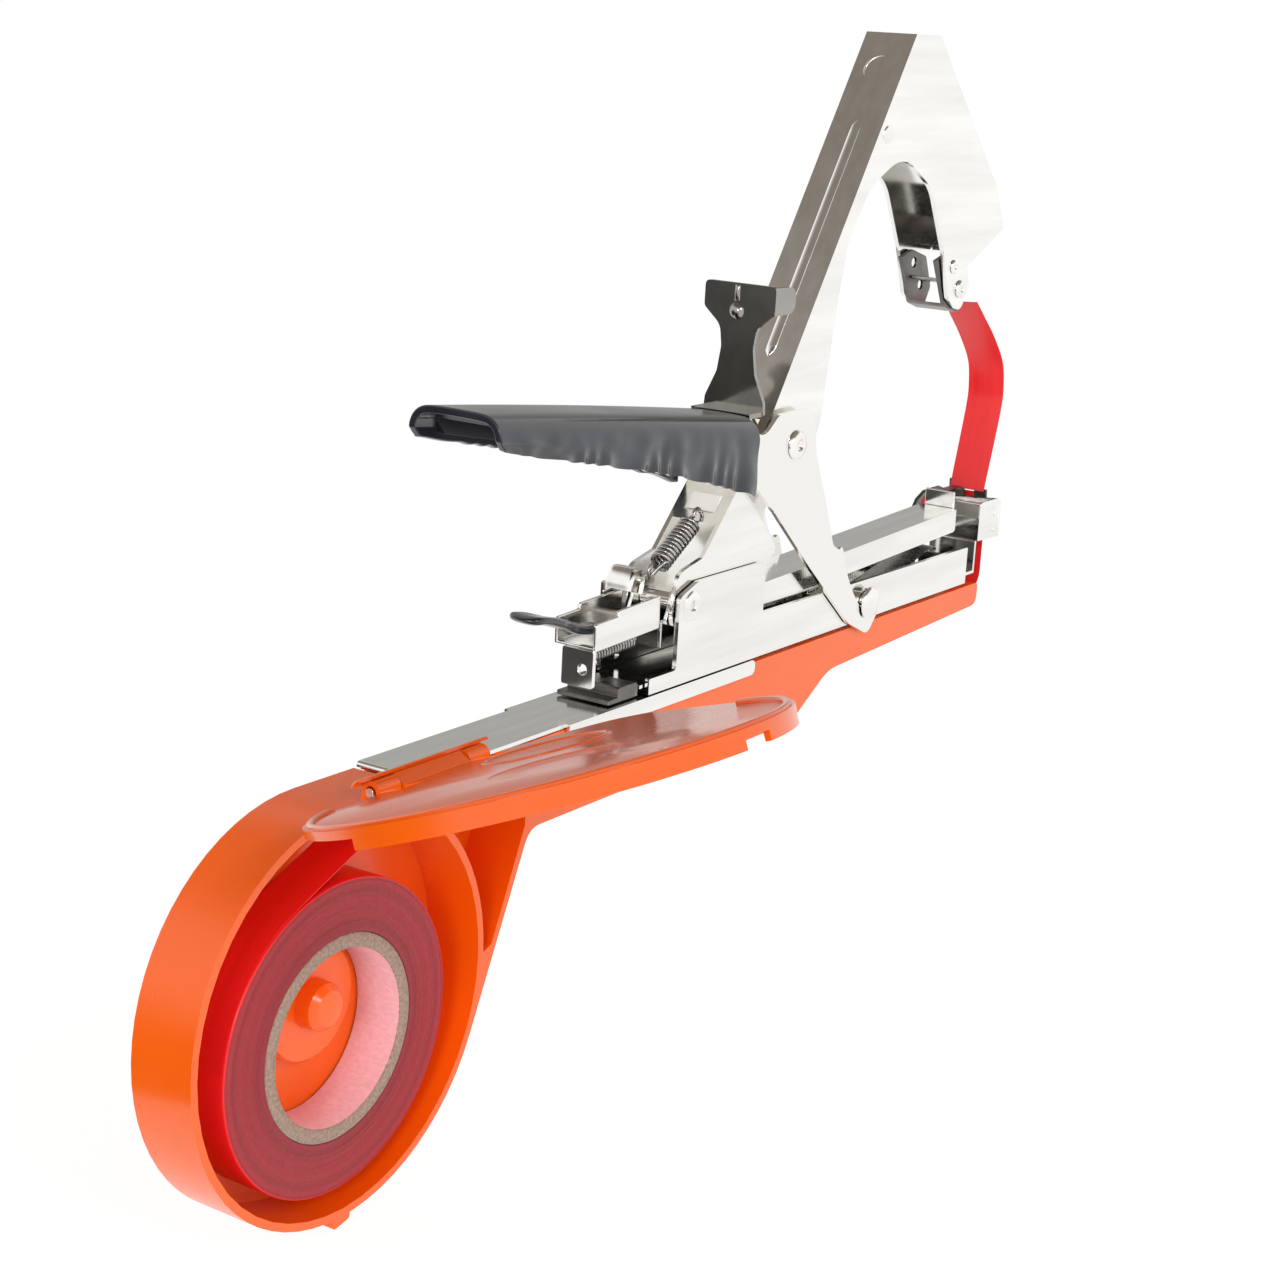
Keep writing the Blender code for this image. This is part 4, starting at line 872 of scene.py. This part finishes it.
class TAPEGUN_OT_tape_roll(bpy.types.Operator):
    """Winds the roll of film on its card core"""
    bl_idname = "tape_gun.tape_roll"
    bl_label = "Tape roll"

    def execute(self, context):
        low, high = node_box("tape_roll")
        core_low, core_high = node_box("tape_core")
        outer = (high.x - low.x) / 2
        bore = (core_high.x - core_low.x) / 2 + 0.12
        near, far = low.y, high.y
        windings = sizes().windings
        centre = (ROLL.x, 0, ROLL.z)
        bm = bmesh.new()
        face = []
        for i in range(windings * 2 + 1):
            t = i / (windings * 2)
            radius = bore + (outer - 0.25 - bore) * t
            swell = (0.10 * noise.noise(Vector((radius * 1.7, 3.1, 0)))
                     + 0.07 * noise.noise(Vector((radius * 5.3, 0, 9))))
            groove = 0.05 if i % 2 else 0.0
            face.append((radius, near + 0.12 + groove - swell))
        rim = [(outer - 0.08, near + 0.22), (outer, near + 0.5), (outer, far - 0.5), (outer - 0.08, far - 0.22),
               (outer - 0.25, far)]
        lathe(bm, [*face, *rim, (bore, far)], centre, 144)
        for item in bm.faces:
            spoke = item.calc_center_median() - Vector(centre)
            spoke.y = 0
            item.material_index = 1 if spoke.length > outer - 0.2 else 0
        put_in_place("tape_roll_wound", bm, [wound_film(), stretch_film()], "roll", ("tape_roll",), 60)
        inner = bore - 0.12 - 2.8
        bm = bmesh.new()
        outer_core = bore - 0.12
        ring = [(inner, core_low.y + 0.25), (inner + 0.25, core_low.y), (outer_core - 0.2, core_low.y),
                (outer_core, core_low.y + 0.2), (outer_core, core_high.y), (inner, core_high.y)]
        lathe(bm, ring, centre, 120)
        for item in bm.faces:
            spoke = item.calc_center_median() - Vector(centre)
            spoke.y = 0
            item.material_index = 1 if spoke.length < inner + 0.05 else 0
        card = pressed_card("grey card", colours().card, 0.28)
        lining = pressed_card("core lining", colours().core_lining, 0.08)
        put_in_place("tape_core_wound", bm, [card, lining], "roll", ("tape_core",), 60)
        return {"FINISHED"}


def film_grid(path, half, thickness, crown, twist=0.0):
    """Closed rings of points round a strip of film along an (x, z) path, crowned across its width."""
    grid = []
    across = 12
    for i, point in enumerate(path):
        ahead = path[min(i + 1, len(path) - 1)] - path[max(i - 1, 0)]
        out = Vector((-ahead.y, ahead.x)).normalized()
        t = i / (len(path) - 1)
        ring = []
        for face, order in ((0.5, range(across + 1)), (-0.5, range(across, -1, -1))):
            for k in order:
                s = 2 * k / across - 1
                lift = crown * (1 - s * s) + face * thickness + twist * s * math.sin(math.pi * t)
                ring.append(Vector((point.x + out.x * lift, s * half, point.y + out.y * lift)))
        grid.append(ring)
    return grid


class TAPEGUN_OT_tape_film(bpy.types.Operator):
    """Draws the free film from the jaw to the arm's catch, and the film that leaves the roll"""
    bl_idname = "tape_gun.tape_film"
    bl_label = "Tape film"

    def execute(self, context):
        low, high = node_box("tape_strip")
        half = (high.y - low.y) / 2
        span, tall = high.x - low.x, high.z - low.z
        bend = ((0.695, 0.0), (0.75, 0.09), (0.86, 0.25), (0.965, 0.42), (0.985, 0.52), (0.90, 0.66), (0.60, 0.80),
                (0.29, 0.91), (0.03, 1.0))
        path = smooth_path([Vector((low.x + span * u, low.z + tall * v)) for u, v in bend], 7)
        bm = bmesh.new()
        capped_skin(bm, film_grid(path, half, sizes().film / MM, 0.35, 0.35))
        film = put_in_place("tape_strip_film", bm, [stretch_film()], "frame", ("tape_strip",), 60)
        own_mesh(film)
        roll_low, roll_high = node_box("tape_roll")
        radius = (roll_high.x - roll_low.x) / 2
        run_low, run_high = node_box("tape_run")
        lift = sizes().film / MM
        level = TAPE_LEVEL
        mouth = Vector((-29.0, level))
        centre = Vector((ROLL.x, ROLL.z))
        away = mouth - centre
        leave = math.atan2(away.y, away.x) + math.acos((radius + 0.15) / away.length)
        path = [centre + Vector((math.cos(a), math.sin(a))) * (radius + 0.15 - 0.3 * (1 - i / 24) ** 2)
                for i, a in ((i, leave + math.radians(70) * (1 - i / 24)) for i in range(25))]
        path += [path[-1].lerp(mouth, t / 6) for t in range(1, 6)]
        path += [Vector((x, level)) for x in (-26.0, 0.0, 40.0, 80.0, 120.0, 160.0, 190.0)]
        path += [Vector((198.0 + 5.0 * math.sin(a), level + 5.0 - 5.0 * math.cos(a)))
                 for a in (math.radians(d) for d in range(0, 91, 15))]
        path += [Vector((203.0, z)) for z in (6.0, 11.0, 16.0, 21.4)]
        bm = bmesh.new()
        capped_skin(bm, film_grid(path, (run_high.y - run_low.y) / 2, lift, 0.0))
        put_in_place("tape_run_film", bm, [stretch_film()], "frame", ("tape_run",), 60)
        return {"FINISHED"}


# Handle

class TAPEGUN_OT_grip(bpy.types.Operator):
    """Dips the handle in vinyl: a rounded open channel with a thick lip and folds along its lower edge"""
    bl_idname = "tape_gun.grip"
    bl_label = "Grip"

    def execute(self, context):
        low, high = node_box("handle_grip")
        rear, front = low.x, high.x
        half = high.y
        wall = 1.5
        fold = sizes().grip_wrinkle / MM
        columns = 110

        def section(t, inset, end_roll):
            x = rear + (front - rear) * t
            top = high.z - 8.6 * t - 1.3 * t * t - inset
            foot = high.z - 6.8 - 17.0 * t - 3.2 * t ** 4 + end_roll
            side = half - inset
            corner = max(0.6, 4.6 - inset)
            row = []
            lean = 1.6 * (1 - min(1.0, t * 5)) ** 2
            for sign in (-1, 1):
                wallpoints = []
                for k in range(9):
                    s = k / 8
                    z = foot + (top - corner - foot) * s
                    near_foot = (1 - s) ** 2
                    pleat = math.sin(t * 88 + 2.6 * math.sin(t * 23 + sign)) * near_foot * min(1.0, t * 3.5)
                    drift = noise.noise(Vector((t * 16, s * 2.2, sign * 3.0 + inset)))
                    width = side - (fold * (pleat + 0.8 * drift) if inset < 0.5 else 0.0) - 0.25 * (1 - s)
                    slip = lean * (1 - s)
                    wallpoints.append(Vector((x + slip * (1 - t), sign * width, z - (0.5 * fold * pleat))))
                bend = [Vector((x, sign * (side - corner + corner * math.cos(a)),
                                top - corner + corner * math.sin(a)))
                        for a in (math.radians(d) for d in (22, 45, 68))]
                row.append([*wallpoints, *bend])
            left, right = row
            crown = [Vector((x, -(side - corner) * c, top + 0.12 * (1 - c * c))) for c in (1, 0.5, 0, -0.5, -1)]
            return [*left, *crown, *right[::-1]]

        grid = []
        for i in range(columns + 1):
            t = i / columns
            grid.append((section(t, 0.0, 0.0), section(t, wall, 0.25)))
        bm = bmesh.new()
        rings = []
        for outside, inside in grid:
            rings.append([*outside, *inside[::-1]])
        rows = skin(bm, rings, closed=True)
        count = len(grid[0][0])
        for ring in (rows[0], rows[-1]):
            for i in range(count - 1):
                j = len(ring) - 1 - i
                bm.faces.new((ring[i], ring[i + 1], ring[j - 1], ring[j]))
        grip = put_in_place("handle_grip_dipped", bm, [dipped_vinyl()], "handle", ("handle_grip",), 50)
        lip = grip.modifiers.new("rolled lip", "BEVEL")
        lip.width = 0.0006
        lip.segments = 3
        lip.limit_method = "ANGLE"
        lip.angle_limit = math.radians(50)
        smooth = grip.modifiers.new("smooth", "SUBSURF")
        smooth.levels = smooth.render_levels = 1
        return {"FINISHED"}


class TAPEGUN_OT_thumb_leaf(bpy.types.Operator):
    """Finishes the thumb leaf in dark mirror plate, with its pressed button"""
    bl_idname = "tape_gun.thumb_leaf"
    bl_label = "Thumb leaf"

    def execute(self, context):
        mirror = plated("dark mirror plate", (0.34, 0.33, 0.30), 0.10, 0.00018)
        soften("thumb_leaf", mirror, sizes().plate_edge)
        bm = bmesh.new()
        face = 81.4
        button = [(0, face - 1.15), (0.7, face - 1.05), (1.3, face - 0.75), (1.7, face - 0.3), (1.9, face + 0.1),
                  (0, face + 0.1)]
        lathe(bm, button, (0, 0.7, 76.3), 32, "x")
        put_in_place("leaf_button", bm, [mirror], "handle", crease=60)
        bm = bmesh.new()
        rib = []
        for i in range(17):
            t = i / 16
            swell = math.sin(math.pi * t) ** 0.5
            rib.append([Vector((face - 0.55 * math.sin(a) * swell + 0.05, 0.7 + 0.7 * math.cos(a), 78.4 + 3.6 * t))
                        for a in (math.pi * k / 6 for k in range(7))])
        skin(bm, rib, closed=True)
        put_in_place("leaf_rib", bm, [mirror], "handle", crease=60)
        return {"FINISHED"}


class TAPEGUN_OT_pusher_knob(bpy.types.Operator):
    """Moulds the pusher's spoon-shaped thumb tab"""
    bl_idname = "tape_gun.pusher_knob"
    bl_label = "Pusher knob"

    def execute(self, context):
        low, high = node_box("pusher_knob")
        length = high.x - low.x
        bm = bmesh.new()
        grid = []
        steps = 40
        for i in range(steps + 1):
            t = i / steps
            x = low.x + length * t
            middle = high.z - 1.3 - (high.z - low.z - 2.4) * (0.5 - 0.5 * math.cos(math.pi * t)) ** 1.15
            bowl = max(0.0, 1 - (abs(t - 0.27) / 0.30) ** 2.4)
            width = 4.05 * (1 - (1 - min(1.0, t / 0.14)) ** 2) ** 0.5 if t < 0.14 else 4.05
            width = width if t < 0.42 else 4.05 - 1.35 * min(1.0, (t - 0.42) / 0.2)
            width = max(0.05, width)
            thick = 1.15 * min(1.0, (t / 0.10)) ** 0.5 if t < 0.10 else 1.15
            thick = max(0.05, thick)
            ring = []
            for k in range(28):
                a = 2 * math.pi * k / 28
                y = width * math.copysign(abs(math.cos(a)) ** 0.75, math.cos(a))
                z = thick * math.copysign(abs(math.sin(a)) ** 0.8, math.sin(a))
                dish = 0.9 * bowl * (1 - (y / 4.2) ** 2) if z > 0 else 0.35 * bowl * (1 - (y / 4.2) ** 2)
                ring.append(Vector((x, y, middle + z - dish)))
            grid.append(ring)
        capped_skin(bm, grid)
        put_in_place("pusher_knob_moulded", bm, [dipped_vinyl("black moulding")], "pusher",
                     ("pusher_knob",), 60)
        return {"FINISHED"}


# Jaw

class TAPEGUN_OT_jaw(bpy.types.Operator):
    """Presses the jaw guide's dents and moulds the presser's tip"""
    bl_idname = "tape_gun.jaw"
    bl_label = "Jaw"

    def execute(self, context):
        guide = NODES["jaw_guide"]
        low, high = node_box("jaw_guide")
        bm = bmesh.new()
        for z in (low.z + 3.0, high.z - 3.2):
            for side in (low.y, high.y):
                bmesh.ops.create_uvsphere(bm, u_segments=20, v_segments=12, radius=1.6,
                                          matrix=Matrix.Translation((high.x - 4.6, side * 1.14, z)))
        carve(guide, "guide dents", bm)
        tip, _ = finish("red tip", (0.75, 0.04, 0.05), 0.0, 0.3, Coat_Weight=0.4)
        soften("presser_tip", tip, 0.0005, 3)
        return {"FINISHED"}


# Stage

CAMERA_AT = Vector((-0.3592, -0.2677, 0.1357))
YAW, DOWN, ROLL_OVER = math.radians(56.8), math.radians(14.5), math.radians(3.23)
LENS = 67.44
ROOM = 1.08                 # brightness of the white room


def reflected_room(world):
    """A bright white room with a dim ceiling and a dim far end, which plated metal shows."""
    world.use_nodes = True
    tree = world.node_tree
    nodes, links = tree.nodes, tree.links
    back = nodes["Background"]
    place = nodes.new("ShaderNodeTexCoord")

    def lobe(direction, start, end, dim):
        turn = nodes.new("ShaderNodeVectorMath")
        turn.operation = "DOT_PRODUCT"
        turn.inputs[1].default_value = Vector(direction).normalized()
        fade = nodes.new("ShaderNodeMapRange")
        fade.interpolation_type = "SMOOTHSTEP"
        fade.inputs["From Min"].default_value = start
        fade.inputs["From Max"].default_value = end
        fade.inputs["To Min"].default_value = 0.0
        fade.inputs["To Max"].default_value = dim
        links.new(place.outputs["Generated"], turn.inputs[0])
        links.new(turn.outputs["Value"], fade.inputs["Value"])
        return fade.outputs["Result"]

    def shade(colour_in, factor, colour):
        mix = nodes.new("ShaderNodeMix")
        mix.data_type = "RGBA"
        links.new(factor, mix.inputs["Factor"])
        if isinstance(colour_in, tuple):
            mix.inputs["A"].default_value = colour_in
        else:
            links.new(colour_in, mix.inputs["A"])
        mix.inputs["B"].default_value = colour
        return mix.outputs["Result"]

    room = shade((ROOM, ROOM, ROOM, 1), lobe((0, 0, 1), 0.48, 0.78, 1.0), (0.25, 0.22, 0.19, 1))
    room = shade(room, lobe((0.79, 0.545, 0.27), 0.88, 0.955, 1.0), (0.44, 0.43, 0.41, 1))
    room = shade(room, lobe((-0.70, 0.55, -0.42), 0.80, 0.97, 1.0), (0.06, 0.057, 0.052, 1))
    path = nodes.new("ShaderNodeLightPath")
    room = shade(room, path.outputs["Is Camera Ray"], (1.0, 1.0, 1.0, 1))
    links.new(room, back.inputs["Color"])


class TAPEGUN_OT_stage(bpy.types.Operator):
    """Sets the floor, the soft lights and the camera"""
    bl_idname = "tape_gun.stage"
    bl_label = "Stage"

    def execute(self, context):
        scene = context.scene
        middle = (CAD_BOX[0] + CAD_BOX[1]) / 2
        floor_place = (middle.x + 0.19, middle.y - 0.41, CAD_BOX[0].z - 0.001)
        bm = bmesh.new()
        bmesh.ops.create_circle(bm, cap_ends=True, segments=96, radius=0.62, matrix=Matrix.Translation(floor_place))
        mesh = bpy.data.meshes.new("pale floor")
        bm.to_mesh(mesh)
        bm.free()
        pale, shader = finish("pale floor", (0.22, 0.22, 0.22), 0.0, 0.9, Specular_IOR_Level=0.0)
        shader.inputs["Emission Color"].default_value = (1, 1, 1, 1)
        shader.inputs["Emission Strength"].default_value = 0.88
        mesh.materials.append(pale)
        floor = bpy.data.objects.new("pale floor", mesh)
        scene.collection.objects.link(floor)
        scene.world = bpy.data.worlds.new("studio")
        reflected_room(scene.world)
        lights = (("key", (-0.55, -1.10, 0.75), 0.3, 3.4), ("side", (-1.15, -0.35, 0.40), 0.3, 3.4))
        for name, offset, size, power in lights:
            lamp = bpy.data.lights.new(name, "AREA")
            lamp.shape = "SQUARE"
            lamp.size = size
            lamp.energy = power
            holder = bpy.data.objects.new(name, lamp)
            holder.location = middle + Vector(offset)
            holder.rotation_euler = (-Vector(offset)).to_track_quat("-Z", "Y").to_euler()
            scene.collection.objects.link(holder)
        camera = bpy.data.cameras.new("camera")
        camera.lens = LENS
        camera.sensor_width = 36.0
        camera.clip_start = 0.01
        holder = bpy.data.objects.new("camera", camera)
        ahead = Vector((math.sin(YAW) * math.cos(DOWN), math.cos(YAW) * math.cos(DOWN), -math.sin(DOWN)))
        level = Vector((math.cos(YAW), -math.sin(YAW), 0))
        upright = level.cross(ahead)
        right = level * math.cos(ROLL_OVER) + upright * math.sin(ROLL_OVER)
        up = upright * math.cos(ROLL_OVER) - level * math.sin(ROLL_OVER)
        turn = Matrix((right, up, -ahead)).transposed()
        holder.matrix_world = Matrix.Translation(CAMERA_AT) @ turn.to_4x4()
        scene.collection.objects.link(holder)
        scene.camera = holder
        scene.view_settings.view_transform = "Standard"
        return {"FINISHED"}


OPERATORS = (TAPEGUN_OT_stage, TAPEGUN_OT_pressed_plates, TAPEGUN_OT_spring_hook, TAPEGUN_OT_arm_pressings,
             TAPEGUN_OT_rivets, TAPEGUN_OT_springs, TAPEGUN_OT_cassette, TAPEGUN_OT_lid, TAPEGUN_OT_tape_roll,
             TAPEGUN_OT_tape_film, TAPEGUN_OT_grip, TAPEGUN_OT_thumb_leaf, TAPEGUN_OT_pusher_knob,
             TAPEGUN_OT_jaw)


class TAPEGUN_PT_panel(bpy.types.Panel):
    """Lists the tape gun's finishing steps, sizes and colours"""
    bl_idname = "TAPEGUN_PT_panel"
    bl_label = "Tape Gun"
    bl_space_type = "VIEW_3D"
    bl_region_type = "UI"
    bl_category = "Tape Gun"

    def draw(self, context):
        for group in (context.scene.tape_gun_sizes, context.scene.tape_gun_colours):
            box = self.layout.box()
            for name in group.bl_rna.properties.keys():
                if name not in ("rna_type", "name"):
                    box.prop(group, name)
        column = self.layout.column(align=True)
        for operator in OPERATORS:
            column.operator(operator.bl_idname)


CLASSES = (TapeGunSizes, TapeGunColours, *OPERATORS, TAPEGUN_PT_panel)


def register():
    for item in CLASSES:
        bpy.utils.register_class(item)
    bpy.types.Scene.tape_gun_sizes = PointerProperty(type=TapeGunSizes)
    bpy.types.Scene.tape_gun_colours = PointerProperty(type=TapeGunColours)


def unregister():
    del bpy.types.Scene.tape_gun_colours
    del bpy.types.Scene.tape_gun_sizes
    for item in reversed(CLASSES):
        bpy.utils.unregister_class(item)


def main():
    register()
    for operator in OPERATORS:
        group, name = operator.bl_idname.split(".")
        getattr(getattr(bpy.ops, group), name)()


if __name__ == "__main__":
    main()
